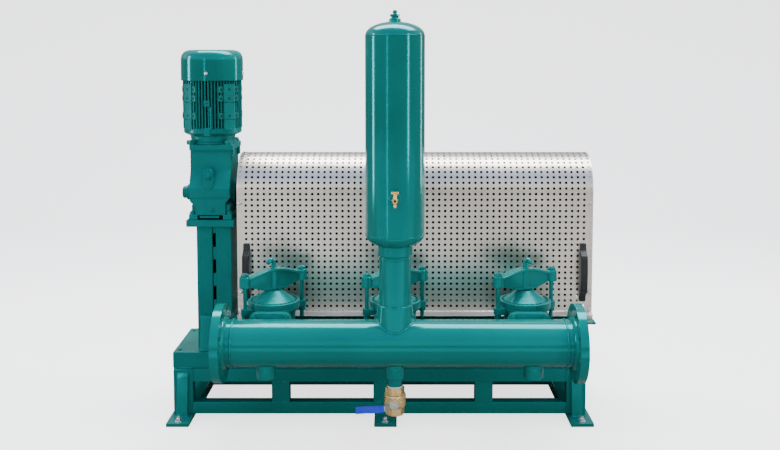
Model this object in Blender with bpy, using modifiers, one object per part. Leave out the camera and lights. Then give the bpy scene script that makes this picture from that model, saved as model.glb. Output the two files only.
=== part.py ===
"""Three-head disc pump with its discharge manifold, air vessel, guard and geared motor.

Metres, +Z up. The origin is on the floor, in the middle of the machine's whole box. X runs
along the crankshaft, and -Y is the discharge side, with the air vessel. The suction side
repeats it. Pieces are laid out from the crankshaft, and one empty sets it behind the origin.
"""
import math

import bmesh
import bpy
from mathutils import Matrix, Vector

# Driving dimensions
GAP = 0.0003            # between pieces that touch
LENGTH_HALF = 0.856     # half of the machine's length, to the left foot plate and the deck's right end

CRANK_Y = 0.00875       # how far the crankshaft is behind the middle, for the cock on the front
SHAFT_Z = 0.911         # crankshaft
HEAD_X = {"left": -0.408, "middle": 0.056, "right": 0.554}
YOKE_TURN = {"left": 34.0, "middle": 28.0, "right": 25.0}     # degrees, seen from above
HOOK_SIDE = {"left": -1, "middle": -1, "right": 1}            # which way the bent rod points
CHAMBER_Y = 0.340       # valve chamber axis, in front of and behind the crankshaft
PIPE_Y = 0.570          # manifold axis
PIPE_Z = 0.444
PIPE_MID_X = 0.071
VESSEL_X = 0.056        # riser, air vessel and drain

FRAME_X = (-0.848, 0.835)
FRAME_Y = (-0.150, 0.226)
RAIL = 0.050            # the frame's square tubes
SILL = 0.100            # width of the flat channels that join the frame sides at the floor
FRAME_Z = (0.014, 0.205)
TOP_RAIL_Z = 0.148
LEG = 0.080
POST = 0.074
POST_X = (-0.4105, 0.0045, 0.4185)
FOOT = (0.091, 0.180, 0.0145)
FOOT_REACH = 0.100      # how far a foot plate stands out of the frame
FOOT_X = (-0.8105, 0.018, 0.803)

BED_Y = (-0.150, 0.182)
BED_Z = (FRAME_Z[1] + GAP, 0.271)
DECK_X = (-0.604, LENGTH_HALF)
DECK_Y = 0.220
DECK_Z = (0.407, 0.415)

PIPE_R = 0.08415        # 168.3 mm steel pipe
PIPE_BORE_R = 0.0795
MANIFOLD_HALF = 0.655
FLANGE_R = 0.1425       # 285 mm flange with eight bolts
FLANGE_T = 0.030
FLANGE_BOLT_R = 0.120
HUB = 0.024             # length of the hub behind the flange
SOCKET_R = 0.032
SOCKET_BOTTOM_Z = 0.317
BRANCH_R = 0.051
BRANCH_PLATE = 0.158
BRANCH_PLATE_Y = (0.100, 0.130)      # the bolted pair, from the pipe's axis

GUARD_X = (-0.580, 0.853)
GUARD_R = 0.150
GUARD_SPRING_Z = 0.924  # where the half-round top begins
GUARD_FOOT_Z = 0.429
GUARD_LIP = (0.033, 0.012)           # outwards and down
SHEET = 0.002

PEDESTAL_X = -0.6857
PEDESTAL_Y = (-0.105, 0.055)
CHANNEL_FLANGE = 0.0682
CHANNEL_WALL = 0.008
TOP_PLATE_Z = (0.7825, 0.811)
MOTOR_X = -0.701

PUMP_GREEN = (0.0, 0.21, 0.20, 1.0)
STEEL = (0.62, 0.60, 0.57, 1.0)
BRASS = (0.72, 0.44, 0.16, 1.0)
BLACK = (0.02, 0.02, 0.025, 1.0)
BLUE = (0.02, 0.06, 0.55, 1.0)


# Scene, materials and placing

def empty_scene():
    for old in list(bpy.data.objects):
        bpy.data.objects.remove(old, do_unlink=True)


def make_collection(name):
    collection = bpy.data.collections.new(name)
    bpy.context.scene.collection.children.link(collection)
    return collection


def make_material(name, colour, roughness, metallic):
    material = bpy.data.materials.new(name)
    material.use_nodes = True
    shader = material.node_tree.nodes["Principled BSDF"]
    shader.inputs["Base Color"].default_value = colour
    shader.inputs["Roughness"].default_value = roughness
    shader.inputs["Metallic"].default_value = metallic
    return material


empty_scene()
PARTS = make_collection("disc_pump")
FINISH = {
    "green": make_material("pump_green", PUMP_GREEN, 0.25, 0.0),
    "steel": make_material("stainless", STEEL, 0.35, 1.0),
    "brass": make_material("brass", BRASS, 0.3, 1.0),
    "black": make_material("black_plastic", BLACK, 0.5, 0.0),
    "blue": make_material("blue_vinyl", BLUE, 0.4, 0.0),
}
CENTRE = bpy.data.objects.new("disc_pump_centre", None)
CENTRE.location = (0, CRANK_Y, 0)
PARTS.objects.link(CENTRE)


def node(name, piece, finish, location=(0, 0, 0), turn=0.0):
    """Name a finished piece, give it its finish and put it in its place."""
    piece.name = name
    piece.data.name = name
    piece.data.materials.clear()
    piece.data.materials.append(FINISH[finish])
    piece.parent = CENTRE
    piece.location = location
    piece.rotation_euler = (0, 0, turn)
    piece.data.shade_smooth()
    piece.data.set_sharp_from_angle(angle=math.radians(35))
    return piece


# Shapes

def from_bmesh(bm):
    mesh = bpy.data.meshes.new("shape")
    bm.to_mesh(mesh)
    bm.free()
    shape = bpy.data.objects.new("shape", mesh)
    PARTS.objects.link(shape)
    return shape


def block(low, high):
    """A box from its lowest to its highest corner."""
    low, high = Vector(low), Vector(high)
    bm = bmesh.new()
    bmesh.ops.create_cube(bm, size=1.0)
    bmesh.ops.scale(bm, vec=high - low, verts=bm.verts)
    bmesh.ops.translate(bm, vec=(low + high) / 2, verts=bm.verts)
    return from_bmesh(bm)


def drum(radius, start, end, sides=16, end_radius=None):
    """A cylinder, or a cone, from one point to another."""
    start, end = Vector(start), Vector(end)
    run = end - start
    bm = bmesh.new()
    bmesh.ops.create_cone(bm, cap_ends=True, segments=sides, radius1=radius,
                          radius2=radius if end_radius is None else end_radius,
                          depth=run.length)
    turn = Vector((0, 0, 1)).rotation_difference(run).to_matrix().to_4x4()
    bmesh.ops.transform(bm, matrix=Matrix.Translation((start + end) / 2) @ turn, verts=bm.verts)
    return from_bmesh(bm)


def baked(shape):
    """Turn a curve or a shape with modifiers into a plain closed mesh."""
    graph = bpy.context.evaluated_depsgraph_get()
    mesh = bpy.data.meshes.new_from_object(shape.evaluated_get(graph))
    bm = bmesh.new()
    bm.from_mesh(mesh)
    bmesh.ops.transform(bm, matrix=shape.matrix_world, verts=bm.verts)
    bmesh.ops.remove_doubles(bm, verts=bm.verts, dist=0.00001)
    bpy.data.objects.remove(shape, do_unlink=True)
    return from_bmesh(bm)


def turned(profile, sides=24, closed=False):
    """Spin a profile of (radius, height) about Z. It runs down its outer side.

    A closed profile makes a ring or a tube, an open one starts and ends on the axis.
    """
    mesh = bpy.data.meshes.new("profile")
    last = len(profile) if closed else len(profile) - 1
    mesh.from_pydata([(radius, 0, height) for radius, height in profile],
                     [(i, (i + 1) % len(profile)) for i in range(last)], [])
    shape = bpy.data.objects.new("profile", mesh)
    PARTS.objects.link(shape)
    screw = shape.modifiers.new("turn", "SCREW")
    screw.axis = "Z"
    screw.steps = screw.render_steps = sides
    screw.use_merge_vertices = True
    screw.merge_threshold = 0.00001
    bpy.context.view_layer.update()
    return baked(shape)


def sheet_outline(loops, thickness):
    """A flat plate from closed outlines in XY: the first is its edge, the others its holes."""
    curve = bpy.data.curves.new("outline", "CURVE")
    curve.dimensions = "2D"
    curve.fill_mode = "BOTH"
    curve.extrude = thickness / 2
    for loop in loops:
        spline = curve.splines.new("POLY")
        spline.points.add(len(loop) - 1)
        for point, (x, y) in zip(spline.points, loop):
            point.co = (x, y, 0, 1)
        spline.use_cyclic_u = True
    shape = bpy.data.objects.new("outline", curve)
    PARTS.objects.link(shape)
    bpy.context.view_layer.update()
    return baked(shape)


def bent_rod(points, radius, sides_level=1):
    """A round bar along a chain of points."""
    curve = bpy.data.curves.new("rod", "CURVE")
    curve.dimensions = "3D"
    curve.bevel_depth = radius
    curve.bevel_resolution = sides_level
    curve.use_fill_caps = True
    spline = curve.splines.new("POLY")
    spline.points.add(len(points) - 1)
    for point, place in zip(spline.points, points):
        point.co = (*place, 1)
    shape = bpy.data.objects.new("rod", curve)
    PARTS.objects.link(shape)
    bpy.context.view_layer.update()
    return baked(shape)


def placed(shape, move=(0, 0, 0), turn=0.0, axis="Z"):
    """Turn a shape about a main axis, then move it, in its mesh."""
    matrix = Matrix.Translation(move) @ Matrix.Rotation(math.radians(turn), 4, axis)
    shape.data.transform(matrix)
    return shape


def boolean(base, operation, others):
    for other in others:
        step = base.modifiers.new(operation.lower(), "BOOLEAN")
        step.operation = operation
        step.solver = "EXACT"
        step.object = other
    bpy.context.view_layer.update()
    result = baked(base)
    for other in others:
        bpy.data.objects.remove(other, do_unlink=True)
    return result


def joined(base, *others):
    return boolean(base, "UNION", others)


def cut(base, *others):
    return boolean(base, "DIFFERENCE", others)


def rounded_square(side, radius, steps=2):
    """The outline of a square with round corners, about the origin."""
    inner = side / 2 - radius
    loop = []
    for quarter, (sx, sy) in enumerate(((1, 1), (-1, 1), (-1, -1), (1, -1))):
        for step in range(steps + 1):
            angle = math.radians(90 * quarter + 90 * step / steps)
            loop.append((sx * inner + radius * math.cos(angle), sy * inner + radius * math.sin(angle)))
    return loop


def rectangle(x0, x1, y0, y1):
    return [(x0, y0), (x1, y0), (x1, y1), (x0, y1)]


# Base frame, bed and deck

def wedge(x0, x1, outline_yz):
    """A bar with its outline in YZ, from x0 to x1."""
    plate = sheet_outline([outline_yz], x1 - x0)
    plate = placed(plate, turn=90, axis="X")
    return placed(plate, move=((x0 + x1) / 2, 0, 0), turn=90, axis="Z")


def ladder_frame(side):
    """One long side of the base frame, with its posts, stiffeners and foot plates."""
    outer = FRAME_Y[0] if side < 0 else FRAME_Y[1]
    edges = [FRAME_X[0] + LEG] + [x + s * POST / 2 for x in POST_X for s in (-1, 1)] + [FRAME_X[1] - LEG]
    windows = [rectangle(edges[i], edges[i + 1], FRAME_Z[0] + RAIL, TOP_RAIL_Z) for i in range(0, 8, 2)]
    ladder = sheet_outline([rectangle(*FRAME_X, *FRAME_Z)] + windows, RAIL)
    ladder = placed(ladder, move=(0, outer - side * RAIL / 2, 0), turn=90, axis="X")
    extras = []
    for x in FOOT_X:
        ends = sorted((outer + side * FOOT_REACH, outer - side * (FOOT[1] - FOOT_REACH)))
        extras.append(block((x - FOOT[0] / 2, ends[0], 0), (x + FOOT[0] / 2, ends[1], FOOT[2])))
    for x in (FRAME_X[0] + LEG / 2, FRAME_X[1] - LEG / 2):
        face = outer - side * 0.002
        profile = [(face, 0.010), (outer + side * 0.033, 0.010), (outer + side * 0.010, 0.184),
                   (face, 0.190)]
        extras.append(wedge(x - 0.0225, x + 0.0225, profile))
    return joined(ladder, *extras)


def build_frame():
    node("front_frame", ladder_frame(-1), "green")
    node("rear_frame", ladder_frame(1), "green")
    inner = (FRAME_Y[0] + RAIL + GAP, FRAME_Y[1] - RAIL - GAP)
    levels = (("bottom", FRAME_Z[0], FOOT[2] + GAP, SILL), ("top", TOP_RAIL_Z, TOP_RAIL_Z, RAIL))
    for level, z0, bottom, width in levels:
        for side, x0 in (("left", FRAME_X[0]), ("right", FRAME_X[1] - width)):
            rail = block((0, inner[0], bottom), (width, inner[1], z0 + RAIL))
            node(f"{side}_{level}_rail", rail, "green", location=(x0, 0, 0))


def build_bed():
    wall = 0.008
    bed = block((FRAME_X[0], BED_Y[0], BED_Z[0]), (FRAME_X[1], BED_Y[1], BED_Z[1]))
    hollow = block((FRAME_X[0] + wall, BED_Y[0] + wall, BED_Z[0] - wall),
                   (FRAME_X[1] - wall, BED_Y[1] - wall, BED_Z[1] - wall))
    holes = [drum(0.007, (x, y, BED_Z[1] - 0.02), (x, y, BED_Z[1] + 0.01), sides=12)
             for x in (-0.825, 0.812) for y in (-0.116, 0.146)]
    node("bed", cut(bed, hollow, *holes), "green")
    node("deck_plate", block((DECK_X[0], -DECK_Y, DECK_Z[0]), (DECK_X[1], DECK_Y, DECK_Z[1])), "green")


# Pump bodies, valve chambers and yokes

PORT_Z = 0.340          # port between a pump body and its valve chambers
PORT_R = 0.050
PORT_FLANGE_R = 0.064
PORT_FACE_Y = 0.137
EAR_R = 0.120           # distance of the yoke's posts from the chamber's axis
EAR_Z = (0.497, 0.5245)
POST_R = 0.008


def pump_body():
    low, high = BED_Z[1] + GAP, DECK_Z[0] - GAP
    shape = turned([(0, high), (0.133, high), (0.133, high - 0.014), (0.120, high - 0.020),
                    (0.120, low + 0.020), (0.133, low + 0.014), (0.133, low), (0, low)])
    ports = [drum(PORT_FLANGE_R, (0, s * 0.09, PORT_Z), (0, s * PORT_FACE_Y, PORT_Z)) for s in (-1, 1)]
    return joined(shape, *ports)


def valve_chamber(side, turn):
    """A chamber about its own axis, with its branch up to the manifold's pipe.

    Side is -1 in front of the crankshaft, 1 behind it.
    """
    body = turned([(0, 0.5245), (0.098, 0.5245), (0.098, 0.512), (0.084, 0.506), (0.084, 0.345),
                   (0.062, 0.300), (0, 0.292)], sides=22)
    port_end = -side * (CHAMBER_Y - PORT_FACE_Y - GAP)
    neck = drum(PORT_R, (0, -side * 0.05, PORT_Z), (0, port_end, PORT_Z))
    neck_flange = drum(PORT_FLANGE_R, (0, port_end + side * 0.014, PORT_Z), (0, port_end, PORT_Z))
    to_pipe = side * (PIPE_Y - CHAMBER_Y)
    branch = drum(BRANCH_R, (0, side * 0.052, PIPE_Z), (0, to_pipe, PIPE_Z), sides=18)
    plate = sheet_outline([rounded_square(BRANCH_PLATE, 0.036)], BRANCH_PLATE_Y[1] - BRANCH_PLATE_Y[0])
    middle = to_pipe - side * (BRANCH_PLATE_Y[0] + BRANCH_PLATE_Y[1]) / 2
    plate = placed(plate, move=(0, middle, PIPE_Z), turn=90, axis="X")
    saddle = drum(PIPE_R + GAP, (-0.2, to_pipe, PIPE_Z), (0.2, to_pipe, PIPE_Z), sides=24)
    ears = []
    holes = []
    for sign in (-1, 1):
        ear = block((0.07, -0.017, EAR_Z[0]), (EAR_R + 0.019, 0.017, EAR_Z[1] - 0.001))
        hole = drum(POST_R + 0.001, (EAR_R, 0, EAR_Z[0] - 0.01), (EAR_R, 0, EAR_Z[1] + 0.01), sides=8)
        for shape in (ear, hole):
            placed(shape, turn=turn + (0 if sign > 0 else 180))
        ears.append(ear)
        holes.append(hole)
    cover = turned([(0, 0.5815), (0.014, 0.5815), (0.014, 0.579), (0.034, 0.579), (0.074, 0.5505),
                    (0.092, 0.5497), (0.092, 0.526), (0.088, 0.524), (0, 0.524)], sides=20)
    return cut(joined(body, neck, neck_flange, branch, plate, *ears, cover), saddle, *holes)


def yoke(turn, hook_side):
    """A cast bridge about the chamber's axis, with its posts, nuts and bent rod."""
    crest = [(0.112, 0.641), (0.090, 0.6465), (0.055, 0.657), (0.028, 0.6635), (-0.028, 0.6635),
             (-0.055, 0.657), (-0.090, 0.6465), (-0.112, 0.641)]
    belly = [(-0.112, 0.607), (-0.080, 0.594), (-0.045, 0.584), (0.045, 0.584), (0.080, 0.594),
             (0.112, 0.607)]
    rib = [(x, z - 0.005) for x, z in crest]
    band = crest + [(x, z - 0.011) for x, z in reversed(crest)]
    web = placed(sheet_outline([rib + belly], 0.016), turn=90, axis="X")
    cap = placed(sheet_outline([band], 0.036), turn=90, axis="X")
    pieces = [drum(0.0145, (0, 0, 0.582), (0, 0, 0.666), sides=16)]
    for sign in (-1, 1):
        x = sign * EAR_R
        pieces.append(drum(0.0205, (x, 0, 0.603), (x, 0, 0.645)))
        pieces.append(drum(POST_R, (x, 0, 0.455), (x, 0, 0.664), sides=8))
        pieces.append(drum(0.015, (x, 0, 0.640), (x, 0, 0.658), sides=6))
        pieces.append(drum(0.015, (x, 0, EAR_Z[0] - 0.0135), (x, 0, EAR_Z[0] - GAP), sides=6))
    bend = [(0, 0, 0.660), (0, 0, 0.682)]
    for step in range(1, 6):
        angle = math.radians(150 * step / 5)
        bend.append((hook_side * 0.016 * (1 - math.cos(angle)), 0, 0.682 + 0.016 * math.sin(angle)))
    hook = placed(bent_rod(bend, 0.009), turn=-hook_side * 40)
    whole = placed(joined(web, cap, *pieces), turn=turn)
    return joined(whole, hook)


def build_heads():
    for place, x in HEAD_X.items():
        node(f"pump_body_{place}", pump_body(), "green", location=(x, 0, 0))
        for row, side in (("discharge", -1), ("suction", 1)):
            spot = (x, side * CHAMBER_Y, 0)
            turn = YOKE_TURN[place]
            node(f"{row}_chamber_{place}", valve_chamber(side, turn), "green", location=spot)
            node(f"{row}_yoke_{place}", yoke(turn, HOOK_SIDE[place]), "green", location=spot)


# Manifolds, riser, air vessel and drain

def manifold_pipe():
    """Pipe about its own middle, with a capped socket under it for each chamber."""
    half = MANIFOLD_HALF - FLANGE_T - HUB - GAP
    profile = [(PIPE_BORE_R, half), (PIPE_R, half), (PIPE_R, -half), (PIPE_BORE_R, -half)]
    pipe = placed(turned(profile, sides=24, closed=True), turn=90, axis="Y")
    sockets = [drum(SOCKET_R, (x - PIPE_MID_X, 0, -0.05), (x - PIPE_MID_X, 0, SOCKET_BOTTOM_Z - PIPE_Z))
               for x in HEAD_X.values()]
    bore = drum(PIPE_BORE_R - 0.0002, (-0.70, 0, 0), (0.70, 0, 0), sides=24)
    return cut(joined(pipe, *sockets), bore)


def pipe_flange(end):
    """The flange on one end of the pipe, with its raised hub and bolt holes."""
    face, back = MANIFOLD_HALF, MANIFOLD_HALF - FLANGE_T
    profile = [(PIPE_BORE_R, face), (FLANGE_R, face), (FLANGE_R, back), (0.1015, back),
               (0.0985, back - 0.012), (0.090, back - 0.018), (PIPE_R, back - HUB), (PIPE_BORE_R, back - HUB)]
    ring = placed(turned(profile, sides=24, closed=True), turn=90 * end, axis="Y")
    holes = []
    for index in range(8):
        angle = math.radians(22.5 + 45 * index)
        y, z = FLANGE_BOLT_R * math.sin(angle), FLANGE_BOLT_R * math.cos(angle)
        holes.append(drum(0.011, (end * (back - 0.01), y, z), (end * (face + 0.01), y, z), sides=8))
    return cut(ring, *holes)


def riser():
    body = turned([(0, 0.7914), (0.040, 0.7950), (0.0625, 0.8020), (0.0625, 0.769), (0.055, 0.765),
                   (0.0595, 0.762), (0.0595, 0.755), (0.05715, 0.753), (0.05715, 0.590),
                   (0.064, 0.586), (0.064, PIPE_Z), (0, PIPE_Z)], sides=20)
    pipe = drum(PIPE_R + GAP, (-0.2, 0, PIPE_Z), (0.2, 0, PIPE_Z), sides=24)
    return cut(body, pipe)


VESSEL_R = 0.105
VESSEL_Z = (0.842, 1.541)
VESSEL_WALL = 0.005


def dish(radius, depth, start, steps=4):
    """Points of a domed head, from the middle outwards, as (radius, rise above its rim)."""
    points = []
    for step in range(steps + 1):
        angle = math.radians(90 * step / steps)
        points.append((max(start, radius * math.sin(angle)), depth * math.cos(angle)))
    return points


def build_vessel():
    wall = VESSEL_WALL
    low, high = VESSEL_Z
    shell = turned([(VESSEL_R, high - GAP), (VESSEL_R, low + GAP), (VESSEL_R - wall, low + GAP),
                    (VESSEL_R - wall, high - GAP)], sides=24, closed=True)
    boss = drum(0.018, (0, -0.1015, 0.982), (0, -0.1255, 0.982), sides=16)
    spot = (VESSEL_X, -PIPE_Y, 0)
    node("vessel_shell", joined(shell, boss), "green", location=spot)

    outer = [(radius, high + rise) for radius, rise in dish(VESSEL_R, 0.049, 0.0)]
    inner = [(radius, high + rise) for radius, rise in dish(VESSEL_R - wall, 0.049 - wall, 0.0)]
    head = turned(outer + list(reversed(inner)), sides=24)
    valve = turned([(0, 1.6325), (0.0072, 1.629), (0.0072, 1.620), (0.004, 1.617), (0.0135, 1.616),
                    (0.0135, 1.609), (0.009, 1.607), (0.009, 1.603), (0.020, 1.597), (0.020, 1.588),
                    (0, 1.588)], sides=16)
    node("vessel_top_head", joined(head, valve), "green", location=spot)

    lower = [(radius, low - rise) for radius, rise in reversed(dish(VESSEL_R, 0.050, 0.0))]
    floor = [(radius, low - rise) for radius, rise in dish(VESSEL_R - wall, 0.050 - wall, 0.0)]
    head = turned(floor + lower, sides=24)
    node("vessel_bottom_head", head, "green", location=spot)


def build_manifolds():
    for row, side in (("discharge", -1), ("suction", 1)):
        spot = (PIPE_MID_X, side * PIPE_Y, PIPE_Z)
        node(f"{row}_pipe", manifold_pipe(), "green", location=spot)
        node(f"{row}_flange_left", pipe_flange(-1), "green", location=spot)
        node(f"{row}_flange_right", pipe_flange(1), "green", location=spot)
    node("riser", riser(), "green", location=(VESSEL_X, -PIPE_Y, 0))


COCK_Z = 0.982
COCK_Y = -PIPE_Y - 0.143
VALVE_Z = 0.237         # stem of the ball valve


def build_cock():
    nose = drum(0.0092, (0, 0.017, COCK_Z), (0, -0.017, COCK_Z), sides=16)
    plug = drum(0.0078, (0, 0, 0.962), (0, 0, 1.001), sides=12)
    tail = drum(0.0045, (0, 0, 0.957), (0, 0, 0.963), sides=12)
    node("cock_body", joined(nose, plug, tail), "brass", location=(VESSEL_X, COCK_Y, 0))
    stem = drum(0.0055, (0, 0, 0.001 + GAP), (0, 0, 0.009), sides=12, end_radius=0.008)
    bar = drum(0.0055, (-0.0135, 0, 0.0095), (0.0135, 0, 0.0095), sides=12)
    node("cock_handle", joined(stem, bar), "brass", location=(VESSEL_X, COCK_Y, 1.0))


def build_drain():
    spot = (VESSEL_X, -PIPE_Y, 0)
    node("drain_nipple", drum(0.0265, (0, 0, 0.284 + GAP), (0, 0, SOCKET_BOTTOM_Z - GAP)), "green",
         location=spot)
    top_hex = drum(0.0345, (0, 0, 0.266), (0, 0, 0.284), sides=6)
    low_hex = drum(0.0345, (0, 0, 0.186), (0, 0, 0.213), sides=6)
    body = turned([(0, 0.270), (0.032, 0.270), (0.039, 0.262), (0.039, 0.222), (0.033, 0.208),
                   (0, 0.208)])
    bonnet = drum(0.016, (0, -0.03, VALVE_Z), (0, -0.045, VALVE_Z), sides=16)
    stem = drum(0.0055, (0, -0.044, VALVE_Z), (0, -0.0625, VALVE_Z), sides=12)
    valve = joined(body, top_hex, low_hex, bonnet, stem)
    outlet = drum(0.0205, (0, 0, 0.176), (0, 0, 0.226), sides=16)
    node("ball_valve", cut(valve, outlet), "brass", location=spot)

    tilt = 3.0
    blade_path = [(0.010, -0.0535), (-0.022, -0.0535), (-0.036, -0.079), (-0.062, -0.083),
                  (-0.062, -0.0860), (-0.0342, -0.0818), (-0.0202, -0.0565), (0.010, -0.0565)]
    blade = sheet_outline([blade_path[::-1]], 0.020)
    eye = drum(0.0165, (0, -0.0528, 0), (0, -0.0572, 0), sides=18)
    hole = drum(0.0060, (0, -0.04, 0), (0, -0.07, 0), sides=12)
    blade = cut(joined(blade, eye), hole)
    grip = block((-0.138, -0.0895, -0.0100), (-0.0405, -0.0800, 0.0100))
    slot = block((-0.0625, -0.0873, -0.0104), (-0.030, -0.0790, 0.0104))
    for shape in (blade, grip, slot):
        placed(shape, turn=-tilt, axis="Y")
    lever_spot = (VESSEL_X, -PIPE_Y, VALVE_Z)
    node("lever_blade", blade, "steel", location=lever_spot)
    node("lever_grip", cut(grip, slot), "blue", location=lever_spot)


# Guard, handles and crankshaft

def guard_section(offset, steps=10):
    """One side's line of the guard's sheet in YZ, from front lip over the top to rear lip."""
    radius = GUARD_R - offset
    out, down = GUARD_LIP
    line = [(-GUARD_R - out, GUARD_FOOT_Z - down - offset), (-radius, GUARD_FOOT_Z - offset)]
    for step in range(steps + 1):
        angle = math.radians(180 - 180 * step / steps)
        line.append((radius * math.cos(angle), GUARD_SPRING_Z + radius * math.sin(angle)))
    return line + [(radius, GUARD_FOOT_Z - offset), (GUARD_R + out, GUARD_FOOT_Z - down - offset)]


def build_guard():
    outer = guard_section(0.0)
    inner = guard_section(SHEET)
    section = outer + list(reversed(inner))
    shell = wedge(*GUARD_X, section)
    panel_line = [point for point in guard_section(SHEET / 2)[1:-1]]
    left = wedge(GUARD_X[0] + 0.0005, GUARD_X[0] + 0.0005 + SHEET, panel_line)
    right = wedge(GUARD_X[1] - 0.0005 - SHEET, GUARD_X[1] - 0.0005, panel_line)
    shaft_way = drum(0.040, (GUARD_X[0] - 0.02, 0, SHAFT_Z), (GUARD_X[0] + 0.02, 0, SHAFT_Z))
    node("guard", cut(joined(shell, left, right), shaft_way), "steel")

    face = -GUARD_R - GAP
    for side, x in (("left", -0.542), ("right", 0.813)):
        feet = [(0, face, 0.489), (0, face - 0.016, 0.489), (0, face - 0.046, 0.520),
                (0, face - 0.046, 0.683), (0, face - 0.016, 0.714), (0, face, 0.714)]
        line = [(y, z) for _, y, z in feet]
        back = [(face, 0.700), (face - 0.012, 0.700), (face - 0.032, 0.680), (face - 0.032, 0.523),
                (face - 0.012, 0.503), (face, 0.503)]
        node(f"guard_handle_{side}", wedge(-0.012, 0.012, line + back), "black", location=(x, 0, 0))


def build_crankshaft():
    shaft = drum(0.022, (-0.600, 0, SHAFT_Z), (0.800, 0, SHAFT_Z))
    pieces = [drum(0.045, (-0.612, 0, SHAFT_Z), (-0.586, 0, SHAFT_Z))]
    for turn, x in zip((90, 210, 330), HEAD_X.values()):
        angle = math.radians(turn)
        y, z = 0.018 * math.cos(angle), SHAFT_Z + 0.018 * math.sin(angle)
        rod = turned([(0, z - 0.045), (0.020, z - 0.045), (0.020, DECK_Z[1] + 0.05),
                      (0.055, DECK_Z[1] + 0.05), (0.055, DECK_Z[1] + GAP), (0, DECK_Z[1] + GAP)],
                     sides=20)
        pieces.append(placed(rod, move=(x, 0, 0)))
        pieces.append(drum(0.062, (x - 0.03, y, z), (x + 0.03, y, z), sides=20))
    node("crankshaft", joined(shaft, *pieces), "green")


# Drive

def build_drive():
    low, high = BED_Z[1] + GAP, TOP_PLATE_Z[0] - GAP
    y0, y1 = PEDESTAL_Y
    wall = CHANNEL_WALL
    reach = CHANNEL_FLANGE - 0.0012
    base = PEDESTAL_X - CHANNEL_FLANGE
    channel = [(base, y0), (base + reach, y0), (base + reach, y0 + wall), (base + wall, y0 + wall),
               (base + wall, y1 - wall), (base + reach, y1 - wall), (base + reach, y1), (base, y1)]
    mirrored = [(2 * PEDESTAL_X - x, y) for x, y in reversed(channel)]
    for side, loop in (("left", channel), ("right", mirrored)):
        post = placed(sheet_outline([loop], high - low), move=(0, 0, (low + high) / 2))
        node(f"pedestal_{side}_channel", post, "green")

    gusset = [(y0 - GAP, low), (y0 - 0.040, low), (y0 - 0.016, 0.410), (y0 - GAP, 0.414)]
    node("pedestal_stiffener", wedge(-0.0535, 0.0535, gusset), "green", location=(PEDESTAL_X, 0, 0))
    node("pedestal_top_plate", block((-0.790, -0.130, TOP_PLATE_Z[0]), (-0.600, 0.120, TOP_PLATE_Z[1])),
         "green")

    x0, x1, foot_z = -0.7775, -0.6126, TOP_PLATE_Z[1] + GAP
    side_view = [(-0.125, 0.850), (-0.125, 0.938), (-0.090, 1.010), (-0.090, 1.0935), (0.090, 1.0935),
                 (0.090, 1.010), (0.110, 0.938), (0.110, 0.850), (0.095, 0.836), (-0.110, 0.836)]
    housing = wedge(x0, x1, side_view[::-1])
    corners = []
    for sign, edge in ((1, x0), (-1, x1)):
        outline = [(edge - sign * 0.01, 0.82), (edge + sign * 0.022, 0.82), (edge + sign * 0.022, 0.862),
                   (edge, 0.898), (edge - sign * 0.01, 0.898)]
        corner = sheet_outline([outline if sign > 0 else outline[::-1]], 0.4)
        corners.append(placed(corner, turn=90, axis="X"))
    housing = cut(housing, *corners)
    middle = (x0 + x1) / 2
    feet = []
    for x in (-0.761, -0.623):
        feet.append(block((x - 0.0175, -0.128, foot_z), (x + 0.0175, 0.112, 0.8375)))
    pad = block((middle - 0.056, -0.101, 0.8262), (middle + 0.056, 0.086, 0.8421))
    cap = drum(0.038, (x0 + 0.01, -0.03, SHAFT_Z), (x0 - 0.010, -0.03, SHAFT_Z))
    nose = drum(0.026, (x0, -0.03, SHAFT_Z), (x0 - 0.044, -0.03, SHAFT_Z))
    adapter = block((-0.7795, -0.100, 1.092), (-0.602, 0.100, 1.114))
    node("gear_unit", joined(housing, *feet, pad, cap, nose, adapter), "green")

    base_z = 1.114 + GAP
    motor = turned([(0, 1.3725), (0.114, 1.3725), (0.119, 1.368), (0.119, 1.178), (0.112, 1.168),
                    (0.086, 1.150), (0.080, 1.135), (0.080, base_z), (0, base_z)], sides=20)
    box = block((-0.050, 0.09, 1.215), (0.050, 0.168, 1.315))
    node("motor", joined(motor, box), "green", location=(MOTOR_X, 0, 0))
    cowl = turned([(0, 1.498), (0.094, 1.498), (0.112, 1.492), (0.123, 1.480), (0.1265, 1.464),
                   (0.1265, 1.373), (0, 1.373)], sides=20)
    node("fan_cowl", cowl, "green", location=(MOTOR_X, 0, 0))


build_frame()
build_bed()
build_heads()
build_manifolds()
build_vessel()
build_cock()
build_drain()
build_guard()
build_crankshaft()
build_drive()
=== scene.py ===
# %% [markdown]
# # A three-head disc pump, dressed
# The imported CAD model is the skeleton. This lesson puts finished pieces over it: welded and cast
# steel under gloss paint, a perforated stainless guard, a brass valve and a finned motor.
# Everything is measured from the crankshaft, and set back by one value where a piece is finished.

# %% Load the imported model
import math

import bmesh
import bpy
from mathutils import Matrix, Vector


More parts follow.
